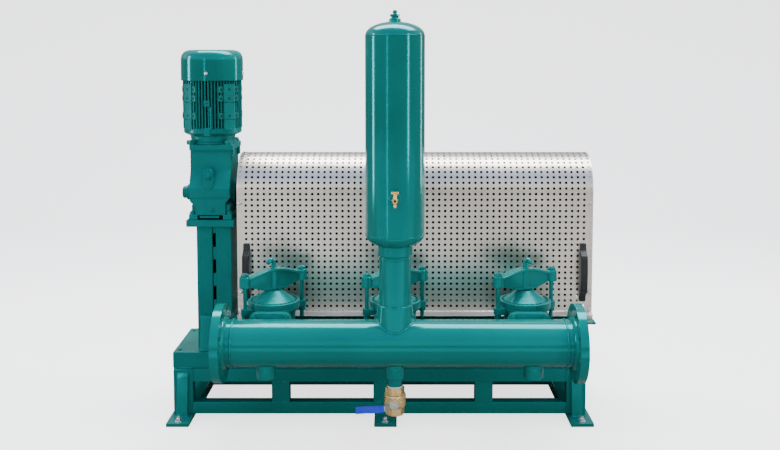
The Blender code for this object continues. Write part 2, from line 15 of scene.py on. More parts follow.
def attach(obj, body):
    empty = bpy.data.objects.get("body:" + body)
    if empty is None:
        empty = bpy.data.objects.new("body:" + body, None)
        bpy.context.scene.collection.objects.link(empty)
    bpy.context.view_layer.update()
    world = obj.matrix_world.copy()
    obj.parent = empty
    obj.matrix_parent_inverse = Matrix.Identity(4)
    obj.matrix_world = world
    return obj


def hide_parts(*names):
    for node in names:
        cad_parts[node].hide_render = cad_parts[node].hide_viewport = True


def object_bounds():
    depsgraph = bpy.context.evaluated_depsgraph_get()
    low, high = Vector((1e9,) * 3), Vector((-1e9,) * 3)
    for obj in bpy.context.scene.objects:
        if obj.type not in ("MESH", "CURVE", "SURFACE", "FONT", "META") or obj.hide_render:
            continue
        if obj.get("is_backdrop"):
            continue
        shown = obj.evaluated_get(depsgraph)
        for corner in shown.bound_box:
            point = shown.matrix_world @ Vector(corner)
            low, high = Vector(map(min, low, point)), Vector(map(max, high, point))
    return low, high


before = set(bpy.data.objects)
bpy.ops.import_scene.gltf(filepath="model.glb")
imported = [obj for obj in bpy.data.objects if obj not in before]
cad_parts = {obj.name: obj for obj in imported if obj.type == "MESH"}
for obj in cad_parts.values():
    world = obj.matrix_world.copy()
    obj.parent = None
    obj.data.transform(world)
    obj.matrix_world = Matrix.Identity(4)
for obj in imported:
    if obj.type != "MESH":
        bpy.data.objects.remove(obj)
size_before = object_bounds()
CRANK_Y = 0.00875       # the crankshaft is this far behind the middle of the CAD box
SHAFT_Z = 0.911
SIDES = (("discharge", -1), ("suction", 1))

# %% [markdown]
# ## A pattern that every finish shares
# Paint, brass and steel are never one flat colour. A shader node group gives a mottled tone and
# a height from noise on Object coordinates. It is built once and used with its own values in
# each material.

# %% Shader group


def shader_group(name, inputs, outputs):
    """A new node group with float sockets, and its two end nodes."""
    tree = bpy.data.node_groups.new(name, "ShaderNodeTree")
    for label, value in inputs:
        socket = tree.interface.new_socket(label, in_out="INPUT", socket_type="NodeSocketFloat")
        socket.default_value = value
    for label in outputs:
        tree.interface.new_socket(label, in_out="OUTPUT", socket_type="NodeSocketFloat")
    return tree, tree.nodes.new("NodeGroupInput"), tree.nodes.new("NodeGroupOutput")


def add(tree, kind, **values):
    """A node with its plain settings and, by input name, its values."""
    made = tree.nodes.new(kind)
    for key, value in values.items():
        if hasattr(made, key):
            setattr(made, key, value)
        else:
            made.inputs[key.replace("_", " ")].default_value = value
    return made


def wire(tree, *links):
    """Link sockets, each link given as (node, output, node, input)."""
    for source, out, target, into in links:
        tree.links.new(source.outputs[out], target.inputs[into])


mottle, ins, outs = shader_group("mottle", [("Tone Scale", 6.0), ("Grain Scale", 300.0)], ["Tone", "Height"])
place = add(mottle, "ShaderNodeTexCoord")
broad = add(mottle, "ShaderNodeTexNoise", Detail=3.0, Roughness=0.55)
grain = add(mottle, "ShaderNodeTexNoise", Detail=2.0, Roughness=0.5)
for noise, label in ((broad, "Tone Scale"), (grain, "Grain Scale")):
    wire(mottle, (place, "Object", noise, "Vector"), (ins, label, noise, "Scale"))
wire(mottle, (broad, "Fac", outs, "Tone"), (grain, "Fac", outs, "Height"))

print("group:", mottle.name)

# %% [markdown]
# ## Finishes
# The whole machine is sprayed in one blue-green coat, over smooth tube and over rough castings
# alike. So one recipe serves all: its gloss and the height and scale of its grain differ. What the
# paint mirrors is tinted, because a white mirror image would wash its colour out.

# %% Paint, metals and plastics


def finish(name, low, high, rough, metallic=0.0, tone=6.0, grain=300.0, height=0.0, coat=0.0,
           stretch=None, tint=(1, 1, 1), gloss=0.5):
    """A Principled material whose colour and roughness wander between two values."""
    material = bpy.data.materials.new(name)
    material.use_nodes = True
    tree = material.node_tree
    shader = tree.nodes["Principled BSDF"]
    shader.inputs["Metallic"].default_value = metallic
    shader.inputs["Coat Weight"].default_value = coat
    shader.inputs["Coat Roughness"].default_value = 0.06
    shader.inputs["Specular Tint"].default_value = (*tint, 1)
    shader.inputs["Specular IOR Level"].default_value = gloss
    pattern = add(tree, "ShaderNodeGroup", node_tree=mottle)
    pattern.inputs["Tone Scale"].default_value = tone
    pattern.inputs["Grain Scale"].default_value = grain
    ramp = add(tree, "ShaderNodeMix", data_type="RGBA")
    spread = add(tree, "ShaderNodeMapRange", From_Min=0.3, From_Max=0.7)
    wire(tree, (pattern, "Tone", spread, "Value"))
    source = pattern.outputs["Height"]
    if stretch:
        place = add(tree, "ShaderNodeTexCoord")
        mapping = add(tree, "ShaderNodeMapping")
        mapping.inputs["Scale"].default_value = stretch
        lines = add(tree, "ShaderNodeTexNoise", Scale=1.0, Detail=4.0)
        wire(tree, (place, "Object", mapping, "Vector"), (mapping, "Vector", lines, "Vector"))
        source = lines.outputs["Fac"]
    wire(tree, (spread, "Result", ramp, "Factor"))
    ramp.inputs["A"].default_value = (*low, 1)
    ramp.inputs["B"].default_value = (*high, 1)
    wire(tree, (ramp, "Result", shader, "Base Color"))
    shine = add(tree, "ShaderNodeMapRange", To_Min=rough[0], To_Max=rough[1])
    tree.links.new(source if stretch else pattern.outputs["Tone"], shine.inputs["Value"])
    wire(tree, (shine, "Result", shader, "Roughness"))
    if height:
        bump = add(tree, "ShaderNodeBump", Strength=0.6, Distance=height)
        tree.links.new(source, bump.inputs["Height"])
        wire(tree, (bump, "Normal", shader, "Normal"))
    return material


GLOSS = (0.02, 0.90, 1.0)        # the paint mirrors the room in its own colour
PAINT = finish("gloss_paint", (0.0, 0.134, 0.115), (0.0, 0.164, 0.143), (0.10, 0.16), tone=3.0, grain=190.0,
               height=0.00008, tint=GLOSS, gloss=0.90)
CAST = finish("paint_on_casting", (0.0, 0.130, 0.114), (0.0, 0.166, 0.147), (0.24, 0.34), tone=14.0,
              grain=420.0, height=0.0003, tint=GLOSS, gloss=0.60)
SATIN = finish("satin_casting", (0.0, 0.138, 0.123), (0.0, 0.168, 0.150), (0.40, 0.52), tone=9.0,
               grain=420.0, height=0.0002, tint=GLOSS, gloss=0.45)
WELD = finish("paint_on_weld", (0.0, 0.150, 0.141), (0.0, 0.200, 0.190), (0.20, 0.32), tone=60.0,
              grain=500.0, height=0.0004, coat=0.08, tint=GLOSS, gloss=0.85)
STAINLESS = finish("rolled_stainless", (0.65, 0.60, 0.535), (0.81, 0.76, 0.695), (0.26, 0.40), metallic=1.0,
                   tone=4.0, height=0.00004, stretch=(9.0, 320.0, 320.0))
ZINC = finish("zinc_plated", (0.62, 0.64, 0.66), (0.78, 0.79, 0.80), (0.22, 0.36), metallic=1.0,
              tone=60.0, height=0.0001)
BRASS = finish("turned_brass", (0.88, 0.56, 0.17), (1.0, 0.70, 0.28), (0.16, 0.28), metallic=1.0,
               tone=40.0, grain=600.0, height=0.0002)
TAPE = finish("thread_tape", (0.70, 0.70, 0.67), (0.82, 0.82, 0.80), (0.5, 0.7), tone=200.0, grain=500.0,
              height=0.0006)
BRASS_CAST = finish("cast_brass", (0.92, 0.58, 0.22), (1.0, 0.74, 0.36), (0.22, 0.34), metallic=0.8,
                    tone=50.0, grain=700.0, height=0.0006)
# Black moulding of the handles and their screws; the same finish is the painted shade of the lining inside
# the guard.
BLACK = finish("black_moulding", (0.004, 0.0045, 0.006), (0.009, 0.010, 0.013), (0.36, 0.50), tone=20.0,
               grain=700.0, height=0.0003)
VINYL = finish("blue_sleeve", (0.012, 0.040, 0.60), (0.020, 0.060, 0.76), (0.25, 0.36), tone=30.0,
               grain=300.0, height=0.0002, coat=0.3)
# Painted shade: a near-black finish for discs in holes and bores and for the crankshaft under the guard,
# standing in for the shade inside them.
HOLLOW_SHADE = finish("dark_hollow", (0.004, 0.010, 0.010), (0.008, 0.016, 0.016), (0.6, 0.8), tone=20.0)
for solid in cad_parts.values():
    solid.data.materials.clear()
    solid.data.materials.append(PAINT)

# %% [markdown]
# ## Making solids
# Every piece is one or more closed shapes: bars with rounded edges, outlines pushed through a
# thickness, and profiles spun on a lathe. A small round on each edge matters most, because a
# painted edge catches the light. Joined parts on the machine also meet like this, weld by weld.

# %% Shapes


def round_edges(bm, width, segments=2):
    sharp = [edge for edge in bm.edges if edge.calc_face_angle(0.0) > math.radians(28)]
    bmesh.ops.bevel(bm, geom=sharp, offset=width, segments=segments, profile=0.5, affect="EDGES",
                    clamp_overlap=True)
    return bm


def bar(low, high, edge=0.0015):
    low, high = Vector(low), Vector(high)
    bm = bmesh.new()
    bmesh.ops.create_cube(bm, size=1.0)
    bmesh.ops.scale(bm, vec=high - low, verts=bm.verts)
    bmesh.ops.translate(bm, vec=(low + high) / 2, verts=bm.verts)
    return round_edges(bm, edge) if edge else bm


def prism(outline, start, end, axis="Z", edge=0.0):
    """An outline pushed along an axis: it is in XY for Z, in XZ for Y and in YZ for X."""
    spot = {"X": lambda u, v, w: (w, u, v), "Y": lambda u, v, w: (u, w, v), "Z": lambda u, v,
            w: (u, v, w)}[axis]
    bm = bmesh.new()
    near = [bm.verts.new(spot(u, v, start)) for u, v in outline]
    far = [bm.verts.new(spot(u, v, end)) for u, v in outline]
    bm.faces.new(near)
    bm.faces.new(far)
    for i in range(len(outline)):
        bm.faces.new((near[i - 1], near[i], far[i], far[i - 1]))
    bmesh.ops.recalc_face_normals(bm, faces=bm.faces)
    return round_edges(bm, edge) if edge else bm


def lathe(profile, sides=64, closed=False):
    """A profile of (radius, height) spun about Z."""
    bm = bmesh.new()
    rings = []
    for radius, height in profile:
        count = 1 if radius < 1e-6 else sides
        angles = [2 * math.pi * k / sides for k in range(count)]
        rings.append([bm.verts.new((radius * math.cos(a), radius * math.sin(a), height)) for a in angles])
    pairs = list(zip(rings, rings[1:])) + ([(rings[-1], rings[0])] if closed else [])
    for upper, lower in pairs:
        for k in range(sides):
            n = (k + 1) % sides
            corners = [upper[k % len(upper)], upper[n % len(upper)], lower[n % len(lower)],
                       lower[k % len(lower)]]
            corners = list(dict.fromkeys(corners))
            if len(corners) > 2:
                bm.faces.new(corners)
    bmesh.ops.recalc_face_normals(bm, faces=bm.faces)
    return bm


def softened(points, radius, steps=3, closed=True):
    """The same outline with its corners rounded."""
    result = []
    for i, corner in enumerate(points):
        here = Vector(corner)
        if not closed and i in (0, len(points) - 1):
            result.append(tuple(here))
            continue
        back, on = Vector(points[i - 1]) - here, Vector(points[(i + 1) % len(points)]) - here
        reach = min(radius, back.length * 0.45, on.length * 0.45)
        start, end = here + back.normalized() * reach, here + on.normalized() * reach
        for step in range(steps + 1):
            t = step / steps
            result.append(tuple(start.lerp(here, t).lerp(here.lerp(end, t), t)))
    return result


def turned(profile, edge, sides, closed=False):
    """A profile spun about Z, with its corners softened first."""
    return lathe(softened(profile, edge, closed=closed), sides, closed)


def put(bm, move=(0, 0, 0), turn=0.0, axis="Z"):
    """Turn a shape about a main axis, then move it."""
    matrix = Matrix.Translation(move) @ Matrix.Rotation(math.radians(turn), 4, axis)
    bmesh.ops.transform(bm, matrix=matrix, verts=bm.verts)
    return bm


def drum(radius, start, end, sides=48, edge=0.001):
    """A round bar between two points, with its rims rounded."""
    start, end = Vector(start), Vector(end)
    run = (end - start).length
    bm = lathe(softened([(0, 0), (radius, 0), (radius, run), (0, run)], edge, closed=False), sides)
    turn = Vector((0, 0, 1)).rotation_difference(end - start).to_matrix().to_4x4()
    bmesh.ops.transform(bm, matrix=Matrix.Translation(start) @ turn, verts=bm.verts)
    return bm


def hexagon(radius, low, high, edge=0.001, turn=0.0):
    return prism(circle(radius, sides=6, turn=turn), low, high, edge=edge)


def plate(loops, start, end, axis="Z"):
    """A flat plate with holes, filled from a 2D curve: the first outline is its edge."""
    curve = bpy.data.curves.new("outline", "CURVE")
    curve.dimensions = "2D"
    curve.fill_mode = "BOTH"
    curve.extrude = (end - start) / 2
    for loop in loops:
        spline = curve.splines.new("POLY")
        spline.points.add(len(loop) - 1)
        for point, (x, y) in zip(spline.points, loop):
            point.co = (x, y, 0, 1)
        spline.use_cyclic_u = True
    return from_curve(curve, axis, (start + end) / 2)


def linked(name, data):
    """A new object in the scene."""
    made = bpy.data.objects.new(name, data)
    bpy.context.scene.collection.objects.link(made)
    return made


def evaluated(made):
    """What an object's curve or modifiers make of it, as a new mesh."""
    bpy.context.view_layer.update()
    return bpy.data.meshes.new_from_object(made.evaluated_get(bpy.context.evaluated_depsgraph_get()))


def from_curve(curve, axis="Z", middle=0.0):
    """The mesh of a curve, welded, with its own Z laid along the axis."""
    holder = linked("outline", curve)
    bm = bmesh.new()
    bm.from_mesh(evaluated(holder))
    bpy.data.objects.remove(holder)
    bmesh.ops.remove_doubles(bm, verts=bm.verts, dist=0.00001)
    rows = {"Z": ((1, 0, 0), (0, 1, 0), (0, 0, 1)), "Y": ((1, 0, 0), (0, 0, 1), (0, 1, 0)),
            "X": ((0, 0, 1), (1, 0, 0), (0, 1, 0))}[axis]
    offset = {"Z": (0, 0, middle), "Y": (0, middle, 0), "X": (middle, 0, 0)}[axis]
    bmesh.ops.transform(bm, matrix=Matrix.Translation(offset) @ Matrix(rows).to_4x4(), verts=bm.verts)
    bmesh.ops.recalc_face_normals(bm, faces=bm.faces)
    return bm


def rod(points, radius, smooth=3):
    """A round bar along a chain of points."""
    curve = bpy.data.curves.new("rod", "CURVE")
    curve.dimensions = "3D"
    curve.bevel_depth = radius
    curve.bevel_resolution = smooth
    curve.use_fill_caps = True
    spline = curve.splines.new("POLY")
    spline.points.add(len(points) - 1)
    for point, spot in zip(spline.points, points):
        point.co = (*spot, 1)
    return from_curve(curve)


def circle(radius, x=0.0, y=0.0, sides=24, turn=0.0):
    """Points on a circle, the first one `turn` degrees round."""
    angles = [2 * math.pi * k / sides + math.radians(turn) for k in range(sides)]
    return [(x + radius * math.cos(a), y + radius * math.sin(a)) for a in angles]


def ball(radius, centre, squash=1.0, sides=24):
    bm = bmesh.new()
    bmesh.ops.create_uvsphere(bm, u_segments=sides, v_segments=sides // 2, radius=radius)
    bmesh.ops.scale(bm, vec=(1, 1, squash), verts=bm.verts)
    return put(bm, move=centre)


def merged(name, solids, shift=0.0):
    """One mesh of several closed shapes, moved along Y."""
    whole = bmesh.new()
    for solid in solids:
        part = bpy.data.meshes.new("part")
        solid.to_mesh(part)
        solid.free()
        whole.from_mesh(part)
        bpy.data.meshes.remove(part)
    bmesh.ops.translate(whole, vec=(0, shift, 0), verts=whole.verts)
    mesh = bpy.data.meshes.new(name)
    whole.to_mesh(mesh)
    whole.free()
    return mesh


def moved(solids, spot):
    return [put(solid, spot) for solid in solids]


def piece(name, solids, look, nodes=(), body="pump", sharp=32):
    """Join closed shapes into one finished object that stands for its CAD nodes."""
    return dress(name, merged(name, solids, CRANK_Y), look, nodes, body, sharp)


def dress(name, mesh, look, nodes=(), body="pump", sharp=32):
    """Give a mesh its finish and smooth shading, and fix it to its body."""
    mesh.materials.clear()
    mesh.materials.append(look)
    mesh.shade_smooth()
    mesh.set_sharp_from_angle(angle=math.radians(sharp))
    made = linked(name.replace(" ", "_"), mesh)
    made.modifiers.new("even_shading", "WEIGHTED_NORMAL").keep_sharp = True
    made.data = evaluated(made)
    made.modifiers.clear()
    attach(made, body)
    if nodes:
        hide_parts(*nodes)
    return made


print("shapes are ready")

# %% [markdown]
# ## What repeats: fasteners and weld beads
# Bolts and welds repeat all over the machine, so each is a Geometry Nodes tree. The fastener
# tree puts one bolt on every point of a mesh, turned to a direction kept on the point. The bead
# tree sweeps a small round along a path and ripples it, as a welder's hand does.

# %% Fastener and bead trees


def geometry_tree(name, inputs):
    tree = bpy.data.node_groups.new(name, "GeometryNodeTree")
    tree.interface.new_socket("Geometry", in_out="INPUT", socket_type="NodeSocketGeometry")
    for label, kind, value in inputs:
        socket = tree.interface.new_socket(label, in_out="INPUT", socket_type="NodeSocket" + kind)
        if value is not None:
            socket.default_value = value
    tree.interface.new_socket("Geometry", in_out="OUTPUT", socket_type="NodeSocketGeometry")
    return tree, tree.nodes.new("NodeGroupInput"), tree.nodes.new("NodeGroupOutput")


def chain(tree, *steps):
    """Link nodes one after another by their geometry sockets, given as (node, in, out)."""
    for (a, _, out), (b, into, _) in zip(steps, steps[1:]):
        wire(tree, (a, out, b, into))


fastener_tree, ins, outs = geometry_tree("fasteners", [("Fastener", "Object", None),
                                                       ("Finish", "Material", None)])
info = add(fastener_tree, "GeometryNodeObjectInfo")
way = add(fastener_tree, "GeometryNodeInputNamedAttribute", data_type="FLOAT_VECTOR")
way.inputs["Name"].default_value = "facing"
align = add(fastener_tree, "FunctionNodeAlignRotationToVector", axis="Z")
copies = add(fastener_tree, "GeometryNodeInstanceOnPoints")
real = add(fastener_tree, "GeometryNodeRealizeInstances")
colour = add(fastener_tree, "GeometryNodeSetMaterial")
wire(fastener_tree, (ins, "Fastener", info, "Object"), (info, "Geometry", copies, "Instance"),
     (way, "Attribute", align, "Vector"), (align, "Rotation", copies, "Rotation"),
     (ins, "Finish", colour, "Material"))
chain(fastener_tree, (ins, None, "Geometry"), (copies, "Points", "Instances"), (real, "Geometry", "Geometry"),
      (colour, "Geometry", "Geometry"), (outs, "Geometry", None))

bead_tree, ins, outs = geometry_tree("weld_beads", [("Bead Radius", "Float", 0.003),
                                                    ("Ripple", "Float", 0.22), ("Spacing", "Float", 0.0026),
                                                    ("Finish", "Material", None)])
path = add(bead_tree, "GeometryNodeMeshToCurve")
even = add(bead_tree, "GeometryNodeResampleCurve", mode="LENGTH")
index = add(bead_tree, "GeometryNodeInputIndex")
turns = add(bead_tree, "ShaderNodeMath", operation="MODULO")
turns.inputs[1].default_value = 2.0
wave = add(bead_tree, "ShaderNodeMath", operation="MULTIPLY")
swell = add(bead_tree, "ShaderNodeMath", operation="ADD")
swell.inputs[1].default_value = 0.9
thick = add(bead_tree, "GeometryNodeSetCurveRadius")
ring = add(bead_tree, "GeometryNodeCurvePrimitiveCircle", Resolution=8)
sweep = add(bead_tree, "GeometryNodeCurveToMesh")
sweep.inputs["Fill Caps"].default_value = True
real = add(bead_tree, "GeometryNodeRealizeInstances")
colour = add(bead_tree, "GeometryNodeSetMaterial")
wire(bead_tree, (ins, "Spacing", even, "Length"), (index, 0, turns, 0), (turns, 0, wave, 0),
     (ins, "Ripple", wave, 1), (wave, 0, swell, 0), (swell, 0, thick, "Radius"),
     (ins, "Bead Radius", ring, "Radius"), (ring, "Curve", sweep, "Profile Curve"),
     (ins, "Finish", colour, "Material"))
if "Scale" in sweep.inputs:
    radius = add(bead_tree, "GeometryNodeInputRadius")
    wire(bead_tree, (radius, 0, sweep, "Scale"))
chain(bead_tree, (ins, None, "Geometry"), (path, "Mesh", "Curve"), (even, "Curve", "Curve"),
      (thick, "Curve", "Curve"), (sweep, "Curve", "Mesh"), (real, "Geometry", "Geometry"),
      (colour, "Geometry", "Geometry"), (outs, "Geometry", None))


def grown(tree, mesh, look, **values):
    """Run a tree on a mesh and return what it makes as a plain mesh."""
    seed = linked("seed", mesh)
    modifier = seed.modifiers.new(tree.name, "NODES")
    modifier.node_group = tree
    for item in tree.interface.items_tree:
        if item.item_type == "SOCKET" and item.in_out == "INPUT":
            label = item.name.replace(" ", "_")
            if label == "Finish":
                modifier[item.identifier] = look
            elif label in values:
                modifier[item.identifier] = values[label]
    result = evaluated(seed)
    bpy.data.objects.remove(seed)
    return result


def one_point():
    mesh = bpy.data.meshes.new("point")
    mesh.from_pydata([(0, 0, 0)], [], [])
    return mesh


def fasteners(name, solids, spots, look):
    """One fastener shape on many spots, each given as (place, direction)."""
    sample = linked("sample", merged("sample", solids))
    points = bpy.data.meshes.new("spots")
    points.from_pydata([(x, y + CRANK_Y, z) for (x, y, z), _ in spots], [], [])
    facing = points.attributes.new("facing", "FLOAT_VECTOR", "POINT")
    facing.data.foreach_set("vector", [value for _, way in spots for value in way])
    mesh = grown(fastener_tree, points, look, Fastener=sample)
    bpy.data.objects.remove(sample)
    return dress(name, mesh, look)


def beads(name, paths, look=WELD, radius=0.003, spacing=0.0026):
    """Weld beads along chains of points. A chain that returns to its start is closed."""
    spots, edges = [], []
    for path in paths:
        first = len(spots)
        loop = (Vector(path[0]) - Vector(path[-1])).length < 1e-5
        spots += [(x, y + CRANK_Y, z) for x, y, z in (path[:-1] if loop else path)]
        last = len(spots) - 1
        edges += [(i, i + 1) for i in range(first, last)] + ([(last, first)] if loop else [])
    mesh = bpy.data.meshes.new("paths")
    mesh.from_pydata(spots, edges, [])
    return dress(name, grown(bead_tree, mesh, look, Bead_Radius=radius, Spacing=spacing), look, sharp=60)


print("trees:", fastener_tree.name, bead_tree.name)

# %% [markdown]
# ## Base frame
# Two ladder sides of square tube stand on three foot plates each, tied by cross rails at both
# ends. Bars with rounded edges are enough, because a tube end is always welded shut against its
# neighbour. The tapered boxes at the legs brace them against the pull of the anchor bolts.

# %% Frame sides, cross rails, feet
FRAME_X = (-0.848, 0.835)
LEG = 0.080
POST_X = (-0.4105, 0.0045, 0.4185)
FOOT_X = (-0.8105, 0.018, 0.803)
FACE = {-1: -0.150, 1: 0.226}


def frame_side(side):
    face = FACE[side]
    y0, y1 = sorted((face, face - side * 0.050))
    left, right = FRAME_X[0] + LEG, FRAME_X[1] - LEG
    solids = [bar((left - 0.002, y0, 0.148), (right + 0.002, y1, 0.201), 0.004),
              bar((left - 0.002, y0, 0.014), (right + 0.002, y1, 0.064), 0.004)]
    for x in POST_X:
        solids.append(bar((x - 0.037, y0 + 0.0008, 0.063), (x + 0.037, y1 - 0.0008, 0.149), 0.004))
    for x in (FRAME_X[0] + LEG / 2, FRAME_X[1] - LEG / 2):
        solids.append(bar((x - LEG / 2, y0, 0.0140), (x + LEG / 2, y1, 0.201), 0.005))
        brace = [(face - side * 0.004, 0.0145), (face + side * 0.033, 0.0145), (face + side * 0.013, 0.168),
                 (face + side * 0.004, 0.190), (face - side * 0.004, 0.190)]
        solids.append(prism(brace, x - 0.023, x + 0.023, "X", 0.005))
    for x in FOOT_X:
        near, far = sorted((face + side * 0.100, face - side * 0.080))
        solids.append(bar((x - 0.0455, near, 0), (x + 0.0455, far, 0.0145), 0.0012))
    return solids


piece("front frame side", frame_side(-1), PAINT, ["front_frame"])
piece("rear frame side", frame_side(1), PAINT, ["rear_frame"])
for level, z0, z1, width in (("bottom", 0.0148, 0.064, 0.100), ("top", 0.148, 0.201, 0.050)):
    for side, x0 in (("left", FRAME_X[0]), ("right", FRAME_X[1] - width)):
        rail = bar((x0 + 0.0005, -0.0996, z0), (x0 + width - 0.0005, 0.1756, z1), 0.004)
        piece(f"{side} {level} cross rail", [rail], PAINT, [f"{side}_{level}_rail"])
print("frame sides and cross rails")

# %% [markdown]
# ## Bed and deck plate
# The bed is a shallow box along the whole frame. It stands on a narrower strip, so a dark line
# shows under it, with short stitch welds. Its holes are cut in the outline before it is filled.

# %% Bed and deck
BED_Y = (-0.150, 0.182)
corners = [(FRAME_X[0], BED_Y[0]), (FRAME_X[1], BED_Y[0]), (FRAME_X[1], BED_Y[1]), (FRAME_X[0], BED_Y[1])]
anchor_spots = [(x, y) for x in (-0.825, 0.812) for y in (-0.116, 0.146)]
bed = round_edges(plate([corners] + [circle(0.0085, x, y) for x, y in anchor_spots], 0.2100, 0.271), 0.0012)
strip = bar((FRAME_X[0] + 0.005, BED_Y[0] + 0.006, 0.2010), (FRAME_X[1] - 0.005, BED_Y[1] - 0.006, 0.2110), 0)
piece("bed", [bed, strip], PAINT, ["bed"])
piece("deck plate", [bar((-0.604, -0.220, 0.407), (0.856, 0.220, 0.415), 0.0012)], PAINT, ["deck_plate"])
# Painted shade: a dark disc a little way down each anchor hole makes the hole read deep.
hole_shade_discs = [drum(0.0083, (x, y, 0.25), (x, y, 0.255), 16) for x, y in anchor_spots]
piece("bed hole floors", hole_shade_discs, HOLLOW_SHADE)
print("bed holes:", len(anchor_spots))

# %% [markdown]
# ## Pump bodies, valve chambers and covers
# These are castings, so they get larger rounds and the coarser painted grain. Each chamber has a
# flared rim with two ears for the bridge posts, a cone-shaped cover, and a square flange towards
# the manifold. The rear row is the same pattern on the other side of the crankshaft.

# %% Chambers
HEAD_X = {"left": -0.408, "middle": 0.056, "right": 0.554}
YOKE_TURN = {"left": 34.0, "middle": 28.0, "right": 25.0}
HOOK_SIDE = {"left": -1, "middle": -1, "right": 1}
CHAMBER_Y, PIPE_Y, PIPE_Z, PORT_Z, EAR_R = 0.340, 0.570, 0.444, 0.340, 0.120


def square_flange(x, y0, y1, z, side=0.158):
    corner = softened([(x - side / 2, z - side / 2), (x + side / 2, z - side / 2),
                       (x + side / 2, z + side / 2), (x - side / 2, z + side / 2)], 0.036, 5)
    return prism(corner, min(y0, y1), max(y0, y1), "Y", 0.002)


def chamber(x, side, turn):
    body = turned([(0, 0.5245), (0.098, 0.5245), (0.098, 0.512), (0.083, 0.500), (0.080, 0.485),
                   (0.080, 0.345), (0.070, 0.308), (0.050, 0.294), (0, 0.292)], 0.006, 72)
    cover = turned([(0, 0.5812), (0.030, 0.5806), (0.035, 0.577), (0.052, 0.5635), (0.073, 0.5485),
                    (0.0795, 0.5445), (0.0800, 0.5415), (0.0890, 0.5412), (0.0895, 0.5435),
                    (0.0965, 0.5435), (0.0984, 0.5415), (0.0984, 0.5235), (0, 0.5235)], 0.0016, 72)
    solids = [body, cover]
    for half in (0, 180):
        ear = softened([(0.060, -0.021), (EAR_R, -0.0165), (EAR_R + 0.0165, -0.008), (EAR_R + 0.0165, 0.008),
                        (EAR_R, 0.0165), (0.060, 0.021)], 0.008, 4)
        solids.append(put(prism(ear, 0.497, 0.5232, "Z", 0.003), turn=turn + half))
    near, far = -side * (CHAMBER_Y - 0.1375), side * 0.05
    for radius, a, b in ((0.050, 0, near), (0.0635, near + side * 0.015, near)):
        solids.append(drum(radius, (0, a, PORT_Z), (0, b, PORT_Z), 48, 0.003))
    face = side * (PIPE_Y - 0.1143 - CHAMBER_Y)
    solids.append(drum(0.057, (0, far * 0.2, PIPE_Z), (0, face - side * 0.010, PIPE_Z), 48, 0.003))
    solids.append(square_flange(0, face, face - side * 0.017, PIPE_Z))
    y0, y1 = sorted((side * 0.066, face - side * 0.006))
    solids.append(bar((-0.034, y0, 0.488), (0.034, y1, 0.519), 0.006))
    return moved(solids, (x, side * CHAMBER_Y, 0))


for place, x in HEAD_X.items():
    for row, side in SIDES:
        piece(f"{row} chamber {place}", chamber(x, side, YOKE_TURN[place]), CAST, [f"{row}_chamber_{place}"])
    barrel = turned([(0, 0.4066), (0.133, 0.4066), (0.133, 0.392), (0.120, 0.384), (0.120, 0.294),
                     (0.133, 0.286), (0.133, 0.2714), (0, 0.2714)], 0.005, 72)
    ports = [drum(0.0640, (0, side * 0.09, PORT_Z), (0, side * 0.1369, PORT_Z), 48, 0.002)
             for side in (-1, 1)]
    piece(f"pump body {place}", moved([barrel] + ports, (x, 0, 0)), CAST, [f"pump_body_{place}"])
print("chambers:", 2 * len(HEAD_X))

# %% [markdown]
# ## Bridges over the covers
# A cast bridge on two posts presses each cover down. It is a thin web with a wide band along its
# arch, a boss at each end and one in the middle. The bent bar on top is the screw's handle.
# The raised lettering of the real casting is left out.

# %% Bridges


def bridge(x, side, turn, hook_side):
    arch = [(0.112, 0.641), (0.090, 0.6465), (0.055, 0.657), (0.028, 0.6630), (0.0, 0.6645), (-0.028, 0.6630),
            (-0.055, 0.657), (-0.090, 0.6465), (-0.112, 0.641)]
    belly = [(-0.112, 0.607), (-0.085, 0.596), (-0.045, 0.5845), (0.045, 0.5845), (0.085, 0.596),
             (0.112, 0.607)]
    web = prism([(u, v - 0.006) for u, v in arch] + belly, -0.0065, 0.0065, "Y", 0.0015)
    band = prism(arch + [(u, v - 0.0105) for u, v in reversed(arch)], -0.021, 0.021, "Y", 0.0025)
    foot = prism(softened([(-0.060, 0.5935), (-0.045, 0.5835), (0.045, 0.5835), (0.060, 0.5935)], 0.003),
                 -0.0125, 0.0125, "Y", 0.002)
    solids = [web, band, foot, drum(0.0160, (0, 0, 0.583), (0, 0, 0.667), 32, 0.003),
              drum(0.010, (0, 0, 0.5815), (0, 0, 0.590), 24)]
    for u in (-EAR_R, EAR_R):
        solids.append(put(turned([(0, 0.645), (0.0205, 0.645), (0.0215, 0.603), (0, 0.603)], 0.003, 40),
                          move=(u, 0, 0)))
        solids.append(put(turned([(0, 0.6580), (0.0078, 0.6580), (0.0078, 0.456), (0, 0.456)], 0.002, 24),
                          move=(u, 0, 0)))
        solids.append(put(drum(0.0165, (0, 0, 0.6445), (0, 0, 0.6470), 32, 0.0006), move=(u, 0, 0)))
        solids.append(put(hexagon(0.0155, 0.6465, 0.6550, 0.0008, 15), move=(u, 0, 0)))
        solids.append(put(hexagon(0.0145, 0.4838, 0.4966, 0.0012, 5), move=(u, 0, 0)))
    bend = [(0, 0, 0.655), (0, 0, 0.680)]
    for step in range(1, 13):
        angle = math.radians(140 * step / 12)
        bend.append((hook_side * 0.0115 * (1 - math.cos(angle)), 0, 0.682 + 0.0145 * math.sin(angle)))
    tip = Vector(bend[-1]) + (Vector(bend[-1]) - Vector(bend[-2])).normalized() * 0.005
    solids.append(put(rod(bend + [tuple(tip)], 0.0088, 5), turn=-hook_side * 40 - turn))
    solids.append(put(ball(0.0088, tip, 0.8, 20), turn=-hook_side * 40 - turn))
    return [put(solid, (x, side * CHAMBER_Y, 0), turn) for solid in solids]


for place, x in HEAD_X.items():
    for row, side in SIDES:
        piece(f"{row} bridge {place}", bridge(x, side, YOKE_TURN[place], HOOK_SIDE[place]), PAINT,
              [f"{row}_yoke_{place}"])
print("bridges:", 2 * len(HEAD_X))

